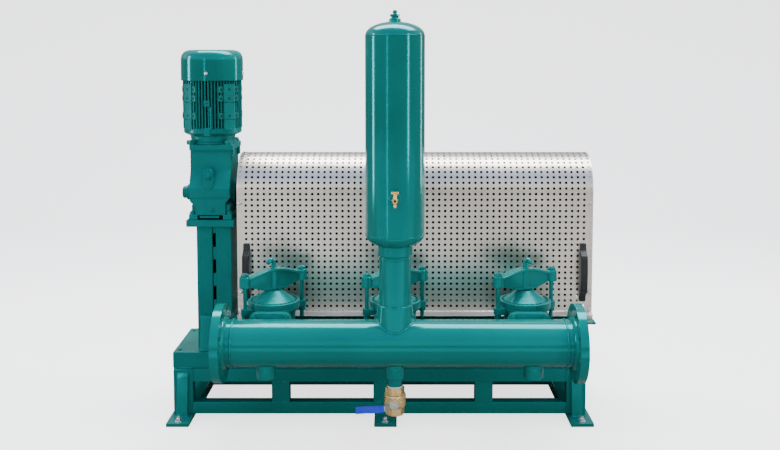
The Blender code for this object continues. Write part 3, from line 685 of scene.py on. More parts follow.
# %% [markdown]
# ## Manifolds
# A manifold is pipe with a flange welded to each end, capped stubs below and a branch to each
# chamber. Flanges are filled outlines, so their eight bolt holes are real. The pipe and the heavy
# weld fillets behind its flanges are spun, then laid on their side.

# %% Manifold pipes and flanges
PIPE_MID_X, MANIFOLD_HALF, PIPE_R = 0.071, 0.655, 0.08415


def pipe_and_stubs(side):
    pipe = lathe([(PIPE_R, 0.640), (PIPE_R, -0.640), (0.0795, -0.640), (0.0795, 0.640)], 112, True)
    solids = [put(pipe, turn=90, axis="Y")]
    for x in (head_x - PIPE_MID_X for head_x in HEAD_X.values()):
        solids.append(drum(0.0355, (x, 0, -0.079), (x, 0, -0.127), 56, 0.006))
        solids.append(square_flange(x, -side * 0.100, -side * 0.1138, 0))
        solids.append(drum(0.055, (x, -side * 0.083, 0), (x, -side * 0.104, 0), 56, 0.001))
        bead = turned([(0.053, 0), (0.061, 0), (0.055, 0.006), (0.053, 0.006)], 0.002, 56, True)
        solids.append(put(bead, (x, -side * 0.100, 0), 90 * side, "X"))
    return solids


def pipe_end(end):
    """A flange, its weld fillet and its raised face on one end of the pipe."""
    holes = [circle(0.011, v, u) for u, v in circle(0.118, sides=8, turn=22.5)]
    a, b = sorted((end * MANIFOLD_HALF, end * (MANIFOLD_HALF - 0.030)))
    ring = round_edges(plate([circle(0.1400, sides=112), circle(0.0795, sides=112)] + holes, a, b, "X"),
                       0.0014)
    fillet = turned([(0.0840, 0.0), (0.0965, 0.0), (0.0950, 0.004), (0.0905, 0.009), (0.0868, 0.012),
                     (0.0840, 0.0125)], 0.0015, 96, True)
    bmesh.ops.scale(fillet, vec=(1, 1, -1), verts=fillet.verts)
    bmesh.ops.reverse_faces(fillet, faces=fillet.faces)
    face = turned([(0.0795, 0), (0.106, 0), (0.106, 0.0016), (0.0795, 0.0016)], 0.0005, 96, True)
    return [ring, put(put(fillet, move=(0, 0, MANIFOLD_HALF - 0.0295)), turn=90 * end, axis="Y"),
            put(put(face, move=(0, 0, MANIFOLD_HALF - 0.0012)), turn=90 * end, axis="Y")]


for row, side in SIDES:
    spot = (PIPE_MID_X, side * PIPE_Y, PIPE_Z)
    piece(f"{row} pipe", moved(pipe_and_stubs(side), spot), PAINT, [f"{row}_pipe"])
    for name, end in (("left", -1), ("right", 1)):
        solids = moved(pipe_end(end), spot)
        piece(f"{row} flange {name}", solids, PAINT, [f"{row}_flange_{name}"])
print("manifolds with", 8 * 4, "bolt holes")

# %% [markdown]
# ## Riser and air vessel
# The riser stands on the pipe with a fish-mouth cut, so its lowest ring of points is lifted on to
# the pipe's round back. The vessel is rolled plate with two domed heads. Each head has its own
# curve and a fine step or seam where it meets the shell, which the tall highlights show.

# %% Riser and vessel
VESSEL_X, VESSEL_R, VESSEL_Z = 0.056, 0.105, (0.842, 1.541)
VESSEL = (VESSEL_X, -PIPE_Y, 0)


def dome(radius, depth, rim, up, steps=20):
    """Half an ellipse from the middle to the rim, going up or down from it."""
    angles = [math.pi / 2 * step / steps for step in range(steps + 1)]
    return [(radius * math.sin(a), rim + up * depth * math.cos(a)) for a in angles]


def seat_on_pipe(bm, below):
    for vert in bm.verts:
        if vert.co.z < below:
            vert.co.z = PIPE_Z + math.sqrt(PIPE_R ** 2 - vert.co.y ** 2) - 0.0008
    return bm


sleeve = lathe([(0, 0.586), (0.060, 0.586), (0.0632, 0.585), (0.064, 0.583), (0.064, 0.540), (0.064, 0.50),
                (0.045, 0.50), (0.02, 0.50), (0, 0.50)], 96)
riser = turned([(0, 0.7914), (0.030, 0.7925), (0.050, 0.7970), (0.0625, 0.8020), (0.0628, 0.768),
                (0.0565, 0.7655), (0.0565, 0.7615), (0.0598, 0.7610), (0.0598, 0.7555), (0.05715, 0.7535),
                (0.05715, 0.584), (0, 0.584)], 0.0018, 96)
riser_solids = moved((seat_on_pipe(sleeve, 0.51), riser), VESSEL)
piece("riser", riser_solids, PAINT, ["riser"])

shell = turned([(0.1015, VESSEL_Z[1] - 0.0004), (VESSEL_R, VESSEL_Z[1] - 0.0004), (VESSEL_R, VESSEL_Z[0]),
                (0.1015, VESSEL_Z[0])], 0.0012, 128, True)
boss = drum(0.0185, (0, -0.1015, 0.982), (0, -0.1250, 0.982), 40, 0.002)
piece("vessel shell", moved((shell, boss), VESSEL), PAINT, ["vessel_shell"])

top = lathe(dome(0.1040, 0.047, VESSEL_Z[1] + 0.0035, 1) + [(0.1040, VESSEL_Z[1] + 0.0006),
                                                            (0, VESSEL_Z[1] + 0.0006)], 128)
tip = softened([(0, 1.6325), (0.0056, 1.6308), (0.0086, 1.6262), (0.0086, 1.6235), (0.0062, 1.6195),
                (0.0060, 1.6180), (0.0150, 1.6170), (0.0158, 1.6085), (0.0132, 1.6070), (0.0132, 1.6035),
                (0.0178, 1.6025), (0.0205, 1.5985), (0.0215, 1.5860), (0, 1.5860)], 0.0010, closed=False)
piece("vessel top head", moved((top, lathe(tip, 40), hexagon(0.0180, 1.6090, 1.6165, 0.001)), VESSEL),
      PAINT, ["vessel_top_head"])
low = lathe(dome(VESSEL_R, 0.050, VESSEL_Z[0] - 0.0008, -1) + [(0, VESSEL_Z[0] - 0.0008)], 128)
piece("vessel bottom head", [put(low, VESSEL)], PAINT, ["vessel_bottom_head"])

# %% [markdown]
# ## Gauge cock and drain valve
# Small brass parts draw the eye, so they are modelled closely: a cock with a T handle, and a
# two-piece ball valve with hexagon ends, a packing nut and a lever that turns on its stem. The
# lever and the cock's handle ride on their own bodies, so they move with the joints.

# %% Brass fittings
COCK_Y, COCK_Z = -PIPE_Y - 0.143, 0.982
COCK = (VESSEL_X, COCK_Y, 0)
nose = turned([(0.0042, 0.0160), (0.0088, 0.0160), (0.0095, 0.0120), (0.0095, -0.0020), (0.0065, -0.0060),
               (0.0065, -0.0165), (0.0042, -0.0165)], 0.0012, 32, True)
cock = [put(nose, (0, 0, COCK_Z), 90, "X"), drum(0.0042, (0, -0.008, COCK_Z), (0, 0.016, COCK_Z), 20),
        put(hexagon(0.0115, 0.0, 0.009, 0.0008), (0, 0.006, COCK_Z), -90, "X"),
        turned([(0, 1.0008), (0.0055, 1.0008), (0.0062, 0.9950), (0.0080, 0.9930), (0.0080, 0.9720),
                (0.0052, 0.9690), (0.0058, 0.9660), (0.0058, 0.9580), (0, 0.9580)], 0.0010, 32)]
piece("gauge cock", moved(cock, COCK), BRASS, ["cock_body"])
# Painted shade: a dark disc in the cock's mouth stands in for the shade in its bore.
piece("gauge cock bore", [drum(0.0040, (VESSEL_X, COCK_Y - 0.0085, COCK_Z),
                               (VESSEL_X, COCK_Y - 0.0095, COCK_Z), 20, 0.0001)], HOLLOW_SHADE)
stem = turned([(0, 1.0095), (0.0062, 1.0095), (0.0045, 1.0035), (0.0050, 1.0013), (0, 1.0013)], 0.0008, 24)
grip = bar((-0.0138, -0.0032, 1.0035), (0.0138, 0.0032, 1.0130), 0.0028)
piece("gauge cock handle", moved((stem, grip), COCK), BRASS, ["cock_handle"], "cock_handle")

VALVE_Z, LEVER_DROOP = 0.237, 3.0
nipple = drum(0.0262, (0, 0, 0.2835), (0, 0, 0.3170), 56, 0.0008)
piece("drain nipple", [put(nipple, VESSEL)], PAINT, ["drain_nipple"])
tape = turned([(0.0264, 0.2905), (0.0272, 0.2900), (0.0276, 0.2864), (0.0264, 0.2862)], 0.0004, 40, True)
piece("thread tape", [put(tape, VESSEL)], TAPE)
barrel = turned([(0, 0.2620), (0.0340, 0.2620), (0.0385, 0.2590), (0.0394, 0.2560), (0.0394, 0.2440),
                 (0.0370, 0.2430), (0.0370, 0.2400), (0.0394, 0.2390), (0.0394, 0.2230), (0.0345, 0.2130),
                 (0.0310, 0.2100), (0, 0.2100)], 0.0008, 64)
throat = turned([(0.0270, 0.1862), (0.0205, 0.1862), (0.0205, 0.2120), (0.0270, 0.2120)], 0.0008, 40, True)
low_ring = plate([circle(0.0345, sides=6, turn=10), circle(0.0240, sides=40)], 0.1870, 0.2125)
lips = [turned([(0.0235, z + 0.0022), (0.0312, z + 0.0022), (0.0312, z - 0.0022), (0.0235, z - 0.0022)],
               0.001, 48, True) for z in (0.2838, 0.1876)]
bonnet = [drum(0.0185, (0, -0.030, VALVE_Z), (0, -0.0415, VALVE_Z), 36, 0.0018),
          put(hexagon(0.0135, 0, 0.0080, 0.001), (0, -0.0410, VALVE_Z), 90, "X"),
          drum(0.0055, (0, -0.048, VALVE_Z), (0, -0.0640, VALVE_Z), 24, 0.0008)]
valve = [barrel, throat, round_edges(low_ring, 0.0018), hexagon(0.0352, 0.2605, 0.2838, 0.0010,
                                                                10)] + lips + bonnet
piece("ball valve", moved(valve, VESSEL), BRASS_CAST, ["ball_valve"], sharp=24)
# Painted shade: a dark disc inside the valve's lower end stands in for the shade in its bore.
piece("ball valve bore", [put(drum(0.0203, (0, 0, 0.2115), (0, 0, 0.2125), 40, 0.0001), VESSEL)],
      HOLLOW_SHADE)


def on_lever(solid):
    """Lay a lever shape at the droop it has when shut, and put it on the stem."""
    return put(solid, (VESSEL_X, -PIPE_Y, VALVE_Z), -LEVER_DROOP, "Y")


line = [(-0.0160, -0.0532), (-0.0200, -0.0532), (-0.0355, -0.0785), (-0.0400, -0.0805), (-0.1300, -0.0838),
        (-0.1300, -0.0868), (-0.0390, -0.0836), (-0.0335, -0.0810), (-0.0190, -0.0562), (-0.0160, -0.0562)]
blade = prism(softened(line, 0.004), -0.0098, 0.0098, "Z", 0.0006)
eye = plate([softened([(-0.0185, -0.0098), (-0.004, -0.0165), (0.010, -0.0135), (0.0165, 0),
                       (0.010, 0.0135), (-0.004, 0.0165), (-0.0185, 0.0098)], 0.008, 4), circle(0.0060)],
            -0.0562, -0.0532, "Y")
nut = put(hexagon(0.0098, 0, 0.0058, 0.0008), (0, -0.0566, 0), 90, "X")
piece("valve lever", [on_lever(solid) for solid in (blade, round_edges(eye, 0.0005), nut)], ZINC,
      ["lever_blade"], "drain_lever")
sleeve_outline = softened([(-0.1385, -0.0900), (-0.0395, -0.0862), (-0.0375, -0.0775), (-0.0400, -0.0765),
                           (-0.1385, -0.0800)], 0.003)
skin = prism(sleeve_outline, -0.0118, 0.0118, "Z", 0.0040)
piece("lever sleeve", [on_lever(skin)], VINYL, ["lever_grip"], "drain_lever")
print("fittings done; lever droop", LEVER_DROOP, "degrees")

# %% [markdown]
# ## Perforated guard
# The guard is one stainless sheet, bent over the crankshaft, with thousands of punched holes. A
# Geometry Nodes grid repeats one small cell that has a real hole with walls, and merges their
# edges. The flat sheet is then laid along the guard's section, straight, round and straight.

# %% Perforated sheet tree
GUARD_X, GUARD_R, SPRING_Z, GUARD_FOOT = (-0.580, 0.853), 0.150, 0.924, 0.429
COLUMNS, ROWS, SHEET = 59, 64, 0.002
PITCH = (GUARD_X[1] - GUARD_X[0]) / COLUMNS
STRAIGHT = SPRING_Z - GUARD_FOOT
AROUND = 2 * STRAIGHT + math.pi * GUARD_R
RISE = AROUND / ROWS

sheet_tree, ins, outs = geometry_tree("perforated_sheet",
                                      [("Cell", "Object", None), ("Columns", "Int", 58),
                                       ("Rows", "Int", 32), ("Width", "Float", 1.0),
                                       ("Height", "Float", 1.0), ("Finish", "Material", None)])
grid = add(sheet_tree, "GeometryNodeMeshGrid")
info = add(sheet_tree, "GeometryNodeObjectInfo")
copies = add(sheet_tree, "GeometryNodeInstanceOnPoints")
real = add(sheet_tree, "GeometryNodeRealizeInstances")
merge = add(sheet_tree, "GeometryNodeMergeByDistance", Distance=0.00005)
colour = add(sheet_tree, "GeometryNodeSetMaterial")
for label, socket in (("Columns", "Vertices X"), ("Rows", "Vertices Y"), ("Width", "Size X"),
                      ("Height", "Size Y")):
    wire(sheet_tree, (ins, label, grid, socket))
wire(sheet_tree, (ins, "Cell", info, "Object"), (info, "Geometry", copies, "Instance"),
     (ins, "Finish", colour, "Material"))
chain(sheet_tree, (grid, None, "Mesh"), (copies, "Points", "Instances"), (real, "Geometry", "Geometry"),
      (merge, "Geometry", "Geometry"), (colour, "Geometry", "Geometry"), (outs, "Geometry", None))


def punched_cell(radius=0.0056, sides=12):
    """A square of sheet with one hole: two skins and the hole's wall."""
    bm = bmesh.new()
    w, h = PITCH / 2, RISE / 2
    skins = []
    for z in (0.0, -SHEET):
        corners = [bm.verts.new((w * sx, h * sy, z)) for sx, sy in ((1, 1), (-1, 1), (-1, -1), (1, -1))]
        hole = [bm.verts.new((x, y, z)) for x, y in circle(radius, sides=sides)]
        quarter = sides // 4
        for k in range(sides):
            faces = [(hole[k], corners[k // quarter], hole[(k + 1) % sides])]
            if k % quarter == 0:
                faces.append((hole[k], corners[k // quarter - 1], corners[k // quarter]))
            for face in faces:
                bm.faces.new(face[::-1] if z else face)
        skins.append(hole)
    for k in range(sides):
        n = (k + 1) % sides
        bm.faces.new((skins[0][k], skins[0][n], skins[1][n], skins[1][k]))
    return bm


def on_guard(x, along, out=0.0):
    """A point on the guard's section, by how far it is along the sheet from the front foot."""
    arc = along - STRAIGHT
    if arc < 0:
        return Vector((x, -GUARD_R - out, GUARD_FOOT + along))
    angle = arc / GUARD_R
    if angle < math.pi:
        return Vector((x, -(GUARD_R + out) * math.cos(angle), SPRING_Z + (GUARD_R + out) * math.sin(angle)))
    return Vector((x, GUARD_R + out, SPRING_Z - (arc - math.pi * GUARD_R)))


cell = linked("cell", merged("cell", [punched_cell()]))
for half, name in ((0, "guard sheet front"), (1, "guard sheet rear")):
    mesh = grown(sheet_tree, one_point(), STAINLESS, Cell=cell, Columns=COLUMNS, Rows=ROWS // 2,
                 Width=PITCH * (COLUMNS - 1), Height=RISE * (ROWS // 2 - 1))
    middle_x, middle_s = sum(GUARD_X) / 2, AROUND * (0.25 + 0.5 * half)
    for vert in mesh.vertices:
        spot = on_guard(middle_x + vert.co.x, middle_s + vert.co.y, vert.co.z)
        vert.co = (spot.x, spot.y + CRANK_Y, spot.z)
    dress(name, mesh, STAINLESS, ["guard"])
    print(name, len(mesh.polygons), "faces, rim", round(PITCH * 1000, 2), "x", round(RISE * 1000, 2), "mm")
bpy.data.objects.remove(cell)

# %% [markdown]
# ## Guard ends, lips and handles
# Both ends are closed by a flat panel with a band inside the sheet, so the outer columns of holes
# look blind. The foot of the sheet bends outwards to a lip that is screwed down. The two pull
# handles are moulded bows, with a screw in each foot.

# %% Guard ends, lips, handles


def section_line(offset, steps=28):
    """The guard's section in YZ, from the front foot over the top, moved inwards."""
    line = [Vector((0, -GUARD_R + offset, GUARD_FOOT + 0.001))]
    for step in range(steps + 1):
        line.append(on_guard(0, STRAIGHT + math.pi * GUARD_R * step / steps * 0.99999, -offset))
    line.append(Vector((0, GUARD_R - offset, GUARD_FOOT + 0.001)))
    return [(p.y, p.z) for p in line]


ends = []
for x0, x1 in ((GUARD_X[0] + 0.0004, GUARD_X[0] + 0.0022), (GUARD_X[1] - 0.0022, GUARD_X[1] - 0.0004)):
    outline = section_line(SHEET + 0.0002)
    holes = [circle(0.046, 0, SHAFT_Z, 40)] if x0 < 0 else []
    ends.append(plate([outline] + holes, x0, x1, "X"))
for x0, x1 in ((GUARD_X[0] + 0.001, GUARD_X[0] + 0.0235), (GUARD_X[1] - 0.0235, GUARD_X[1] - 0.001)):
    ends.append(prism(section_line(SHEET + 0.0014) + section_line(SHEET + 0.0030)[::-1], x0, x1, "X"))
for side in (-1, 1):
    foot = [(side * (GUARD_R + 0.0001), 0.4440), (side * (GUARD_R + 0.0050), 0.4400),
            (side * (GUARD_R + 0.030), 0.4315), (side * (GUARD_R + 0.030), 0.4295),
            (side * (GUARD_R + 0.0042), 0.4378), (side * (GUARD_R + 0.0001), 0.4405)]
    ends.append(prism(foot, GUARD_X[0] + 0.001, GUARD_X[1] - 0.001, "X", 0.0005))
for x in (GUARD_X[0] + 0.012, GUARD_X[1] - 0.012):
    for side in (-1, 1):
        y0, y1 = sorted((side * (GUARD_R + 0.0004), side * (GUARD_R + 0.0026)))
        ends.append(bar((x - 0.011, y0, 0.431), (x + 0.011, y1, 0.462), 0.0006))
        y0, y1 = sorted((side * (GUARD_R + 0.0004), side * (GUARD_R + 0.030)))
        ends.append(bar((x - 0.011, y0, 0.4295), (x + 0.011, y1, 0.4325), 0.0006))
        y0, y1 = sorted((side * (GUARD_R + 0.0080), side * (GUARD_R + 0.028)))
        ends.append(bar((x - 0.010, y0, 0.4152), (x + 0.010, y1, 0.4300), 0.0006))
piece("guard ends and lips", ends, STAINLESS, ["guard"])
# Painted shade: a black sheet inside the rear half of the guard keeps its holes dark, standing in for the
# unlit inside.
behind = [p for p in section_line(0.0075) if p[0] > -0.04]
piece("guard lining", [prism(behind + [(y * 0.993, z - 0.001) for y, z in behind][::-1], GUARD_X[0] + 0.003,
                             GUARD_X[1] - 0.003, "X", 0)], BLACK, ["guard"])

for side, x in (("left", -0.542), ("right", 0.813)):
    face = -GUARD_R - 0.0003
    line = [(face, 0.4840), (face - 0.0085, 0.4840), (face - 0.0120, 0.5080), (face - 0.0440, 0.5320),
            (face - 0.0480, 0.6020), (face - 0.0440, 0.6720), (face - 0.0120, 0.6960),
            (face - 0.0085, 0.7195), (face, 0.7195), (face, 0.6880), (face - 0.0100, 0.6860),
            (face - 0.0300, 0.6640), (face - 0.0345, 0.6020), (face - 0.0300, 0.5400),
            (face - 0.0100, 0.5180), (face, 0.5160)]
    bow = prism(softened(line, 0.010, 4), x - 0.0125, x + 0.0125, "X", 0.0035)
    piece(f"guard handle {side}", [bow], BLACK, [f"guard_handle_{side}"])
print("guard closed; two handles")

# %% [markdown]
# ## Crankshaft and rods
# Under the guard the shaft turns three eccentrics that push a rod down to each pump body. It
# shows only through the holes and at the gear unit, so plain turned shapes do.

# %% Crankshaft
shaft = [drum(0.022, (-0.600, 0, SHAFT_Z), (0.800, 0, SHAFT_Z), 40), drum(0.045, (-0.6120, 0, SHAFT_Z),
                                                                        (-0.5865, 0, SHAFT_Z), 48, 0.003)]
for turn, x in zip((90, 210, 330), HEAD_X.values()):
    angle = math.radians(turn)
    y, z = 0.018 * math.cos(angle), SHAFT_Z + 0.018 * math.sin(angle)
    shaft.append(drum(0.062, (x - 0.03, y, z), (x + 0.03, y, z), 56, 0.003))
    shaft.append(drum(0.020, (x, 0, 0.450), (x, 0, z - 0.045), 32))
    shaft.append(drum(0.055, (x, 0, 0.4153), (x, 0, 0.465), 48, 0.004))
# The crankshaft takes the near-black painted shade finish, so the guard's holes read dark.
piece("crankshaft", shaft, HOLLOW_SHADE, ["crankshaft"])
print("eccentrics:", 3)

# %% [markdown]
# ## Pedestal
# Two channels stand toe to toe under the gear unit. The seam between their toes is stitch welded,
# which leaves a row of black slots. So the toes are kept apart, and short tabs close the seam
# between the slots.

# %% Pedestal
PEDESTAL_X = -0.6857
for side, sign, outer, toe in (("left", -1, -0.7540, -0.6890), ("right", 1, -0.6120, -0.6755)):
    u = [(toe, -0.105), (outer, -0.105), (outer, 0.055), (toe, 0.055), (toe, 0.047),
         (outer - sign * 0.008, 0.047), (outer - sign * 0.008, -0.097), (toe, -0.097)]
    channel = prism(softened(u, 0.005, 3), 0.2714, 0.7820, "Z", 0)
    piece(f"pedestal {side} channel", [channel], SATIN, [f"pedestal_{side}_channel"])
tabs = []
for y0, y1 in ((-0.1049, -0.0971), (0.0471, 0.0549)):
    bottom = 0.2716
    for slot_low in (0.368, 0.477, 0.587, 0.696, 0.7819):
        tabs.append(bar((-0.6862, y0, bottom), (-0.6745, y1, slot_low), 0.0012))
        bottom = slot_low + 0.057
piece("pedestal seam", tabs, SATIN)
brace = [(-0.1050, 0.2714), (-0.1445, 0.2714), (-0.1230, 0.4060), (-0.1180, 0.4140), (-0.1050, 0.4140)]
piece("pedestal stiffener", [prism(brace, PEDESTAL_X - 0.0535, PEDESTAL_X + 0.0535, "X", 0.004)], PAINT,
      ["pedestal_stiffener"])
piece("pedestal top plate", [bar((-0.790, -0.130, 0.7824), (-0.5965, 0.120, 0.8108), 0.0022)], SATIN,
      ["pedestal_top_plate"])
print("pedestal slots:", 4)

# %% [markdown]
# ## Gear unit
# The housing is a casting with a sloped shoulder and cut lower corners. Its side view is pushed
# along X and its lower front view along Y, so both sets of slopes are true. A long oval boss
# with a plug, a bearing cap, feet and a flange for the motor complete it.

# %% Gear unit
X0, X1 = -0.7775, -0.6126
MID = (X0 + X1) / 2
PLUG_X = MID - 0.003
PLATE_TOP, FLANGE_TOP = 0.8113, 1.1142
side_view = [(-0.1250, 0.897), (-0.1250, 0.938), (-0.0900, 1.010), (-0.0900, 1.0935), (0.0900, 1.0935),
             (0.0900, 1.010), (0.1100, 0.938), (0.1100, 0.897)]
front_view = [(X0, 0.9010), (X0 + 0.005, 0.8840), (X0 + 0.025, 0.8650), (X0 + 0.025, 0.8300),
              (X1 - 0.018, 0.8300), (X1 - 0.018, 0.8800), (X1, 0.9000), (X1, 0.9010)]
gear = [prism(side_view, X0, X1, "X", 0.002), prism(front_view, -0.1250, 0.1100, "Y", 0.002)]
for x in (-0.7610, -0.6230):
    gear.append(bar((x - 0.0175, -0.1285, PLATE_TOP), (x + 0.0175, 0.1125, 0.8335), 0.002))
    for y in (-0.1, 0.085):
        gear.append(bar((x - 0.009, y - 0.013, 0.832), (x + 0.009, y + 0.013, 0.872), 0.004))
gear.append(bar((MID - 0.062, -0.101, 0.8240), (MID + 0.056, 0.086, 0.842), 0.003))
gear.append(bar((MID - 0.040, -0.1290, 0.8185), (MID + 0.040, 0.100, 0.8265), 0.002))
gear += [drum(0.040, (X0 + 0.01, -0.03, SHAFT_Z), (X0 - 0.0100, -0.03, SHAFT_Z), 56, 0.003),
         drum(0.032, (X0, -0.03, SHAFT_Z), (X0 - 0.0260, -0.03, SHAFT_Z), 56, 0.004),
         drum(0.025, (X0, -0.03, SHAFT_Z), (X0 - 0.0440, -0.03, SHAFT_Z), 48, 0.005),
         drum(0.052, (X1 - 0.01, 0, SHAFT_Z), (X1 + 0.0060, 0, SHAFT_Z), 56, 0.002)]
oval = []
for centre_z, start in ((0.9995, 0), (0.9515, 180)):
    for angle in (math.radians(start + 15 * k) for k in range(13)):
        oval.append((PLUG_X + 0.0195 * math.cos(angle), centre_z + 0.0195 * math.sin(angle)))
gear.append(prism(oval, -0.1285, -0.085, "Y", 0.003))
gear.append(drum(0.0165, (PLUG_X, -0.126, 0.990), (PLUG_X, -0.1350, 0.990), 40, 0.0012))
gear.append(drum(0.0120, (PLUG_X, -0.134, 0.990), (PLUG_X, -0.1390, 0.990), 40, 0.0008))
gear.append(put(hexagon(0.0085, 0, 0.0080, 0.001), (PLUG_X, -0.1385, 0.990), 90, "X"))
gear.append(drum(0.0100, (-0.684, -0.120, 0.852), (-0.684, -0.1280, 0.852), 32, 0.0010))
gear.append(put(hexagon(0.0058, 0, 0.0030, 0.0005), (-0.684, -0.1280, 0.852), 90, "X"))
gear.append(bar((-0.7795, -0.1000, 1.0925), (-0.6020, 0.1000, FLANGE_TOP), 0.0022))
gear.append(bar((-0.7700, -0.0955, 1.0860), (-0.6110, 0.0955, 1.0945), 0.0015))
for y in (-0.070, 0.070):
    gear.append(bar((-0.6140, y - 0.014, 1.060), (-0.6020, y + 0.014, 1.0945), 0.003))
piece("gear unit", gear, SATIN, ["gear_unit"], sharp=16)
print("gear unit height:", round(FLANGE_TOP - PLATE_TOP, 3))

# %% [markdown]
# ## Motor
# An upright finned motor. Its ribs repeat round the frame, so a Geometry Nodes tree places
# them: one rib, a count and a step. Corner pads with bosses break the ribs, and a
# pressed cowl covers the fan.

# %% Rib tree and motor frame
MOTOR_X, RIBS = -0.701, 58
PAD_TURNS = (45, 135, 225, 315)
BOSS_Y, BOSS_REACH, BOSS_Z = 0.0360, 0.1160, (1.231, 1.302, 1.338)
rib_tree, ins, outs = geometry_tree("cooling_ribs", [("Rib", "Object", None), ("Count", "Int", 60),
                                                     ("Step", "Float", 0.105),
                                                     ("Finish", "Material", None)])
line = add(rib_tree, "GeometryNodeMeshLine")
line.inputs["Offset"].default_value = (0, 0, 0)
info = add(rib_tree, "GeometryNodeObjectInfo")
number = add(rib_tree, "GeometryNodeInputIndex")
times = add(rib_tree, "ShaderNodeMath", operation="MULTIPLY")
spin = add(rib_tree, "ShaderNodeCombineXYZ")
copies = add(rib_tree, "GeometryNodeInstanceOnPoints")
real = add(rib_tree, "GeometryNodeRealizeInstances")
colour = add(rib_tree, "GeometryNodeSetMaterial")
wire(rib_tree, (ins, "Count", line, "Count"), (ins, "Rib", info, "Object"),
     (info, "Geometry", copies, "Instance"), (number, 0, times, 0), (ins, "Step", times, 1),
     (times, 0, spin, "Z"), (spin, "Vector", copies, "Rotation"), (ins, "Finish", colour, "Material"))
chain(rib_tree, (line, None, "Mesh"), (copies, "Points", "Instances"), (real, "Geometry", "Geometry"),
      (colour, "Geometry", "Geometry"), (outs, "Geometry", None))

rib_bm = prism([(0.088, -0.0032), (0.1195, -0.0026), (0.1205, -0.0016), (0.1205, 0.0016), (0.1195, 0.0026),
                (0.088, 0.0032)], 1.1790, 1.3722, "Z")
rib = linked("rib", merged("rib", [rib_bm]))
ribs = grown(rib_tree, one_point(), CAST, Rib=rib, Count=RIBS, Step=2 * math.pi / RIBS)
bpy.data.objects.remove(rib)
ribs.transform(Matrix.Translation((MOTOR_X, CRANK_Y, 0)))
dress("motor ribs", ribs, CAST)

motor = [turned([(0, 1.3728), (0.112, 1.3728), (0.112, 1.3690), (0.0920, 1.3670), (0.0920, 1.1835),
                 (0.1170, 1.1805), (0.1180, 1.1790), (0.1180, 1.1600), (0.1080, 1.1540), (0.0920, 1.1470),
                 (0.0890, 1.1240), (0.0965, 1.1225), (0.0965, 1.1145), (0, 1.1145)], 0.002, 96)]
for turn in PAD_TURNS:
    for z0, z1 in ((1.1740, 1.2135), (1.2150, 1.2840), (1.2855, 1.3600)):
        motor.append(put(bar((0.085, -0.0255, z0), (0.1208, 0.0255, z1), 0.0022), turn=turn))
    for side in (-1, 1):
        for z in BOSS_Z:
            motor.append(put(bar((0.085, side * BOSS_Y - 0.0120, z - 0.0125),
                                 (BOSS_REACH, side * BOSS_Y + 0.0110, z + 0.0125), 0.0020), turn=turn))
    for z0, z1 in ((1.1120, 1.1310), (1.1680, 1.1850)):
        motor.append(put(bar((0.090, -0.014, z0), (0.121, 0.014, z1), 0.004), turn=turn))
motor.append(bar((-0.0125, -0.1225, 1.2700), (0.0125, -0.1000, 1.2945), 0.0020))
motor.append(bar((-0.0130, -0.1235, 1.1500), (0.0130, -0.0900, 1.1840), 0.0030))
motor.append(rod([(0.0150, -0.1210, 1.1750), (0.0150, -0.1215, 1.2700)], 0.0026))
motor.append(bar((-0.050, 0.095, 1.2150), (0.050, 0.1600, 1.3150), 0.0060))
motor.append(bar((-0.053, 0.1590, 1.2120), (0.053, 0.1676, 1.3180), 0.0030))
motor.append(drum(0.0130, (0.050, 0.128, 1.2500), (0.0640, 0.128, 1.2500), 32, 0.0015))
piece("motor", moved(motor, (MOTOR_X, 0, 0)), CAST, ["motor"])

cowl = lathe(softened([(0, 1.4985), (0.0930, 1.4985), (0.1110, 1.4925), (0.1220, 1.4810), (0.1262, 1.4640),
                       (0.1268, 1.3736), (0.1245, 1.3736), (0.1235, 1.4000), (0, 1.4000)], 0.008, 4,
                      closed=False), 112)
for vert in cowl.verts:
    flat = math.hypot(vert.co.x, vert.co.y)
    if flat > 0.1255 and vert.co.z < 1.455:
        dent = 1 - 0.004 * max(0.0, math.cos(6 * math.atan2(vert.co.y, vert.co.x))) ** 3
        vert.co.x, vert.co.y = vert.co.x * dent, vert.co.y * dent
piece("fan cowl", [put(cowl, move=(MOTOR_X, 0, 0))], PAINT, ["fan_cowl"])
print("ribs:", RIBS)

# %% [markdown]
# ## Painted shade in the motor's holes
# Threaded holes in the motor's bosses are too small to cut one by one. A dark disc in the mouth
# of each, set just proud of the boss, is painted shade that reads as a hole from every side.

# %% Painted shade in the holes of the bosses
bore_shades = []
for turn in PAD_TURNS:
    for side in (-1, 1):
        for z in BOSS_Z:
            bore_shades.append(put(drum(0.0056, (BOSS_REACH - 0.001, side * BOSS_Y, z),
                                  (BOSS_REACH + 0.0003, side * BOSS_Y, z), 18, 0.0001), turn=turn))
    for z in BOSS_Z:
        bore_shades.append(put(drum(0.0056, (0.1200, 0.0, z), (0.1211, 0.0, z), 18, 0.0001), turn=turn))
bore_shades.append(drum(0.0040, (0, -0.1220, 1.2830), (0, -0.1228, 1.2830), 18, 0.0001))
piece("boss holes", moved(bore_shades, (MOTOR_X, 0, 0)), HOLLOW_SHADE)
print("boss holes:", len(bore_shades))

# %% [markdown]
# ## Bolts, nuts and screws
# Each kind of fastener is modelled once and put on its spots by the fastener tree. Painted ones
# were sprayed with the machine, and the anchor bolts and guard screws were fitted afterwards.

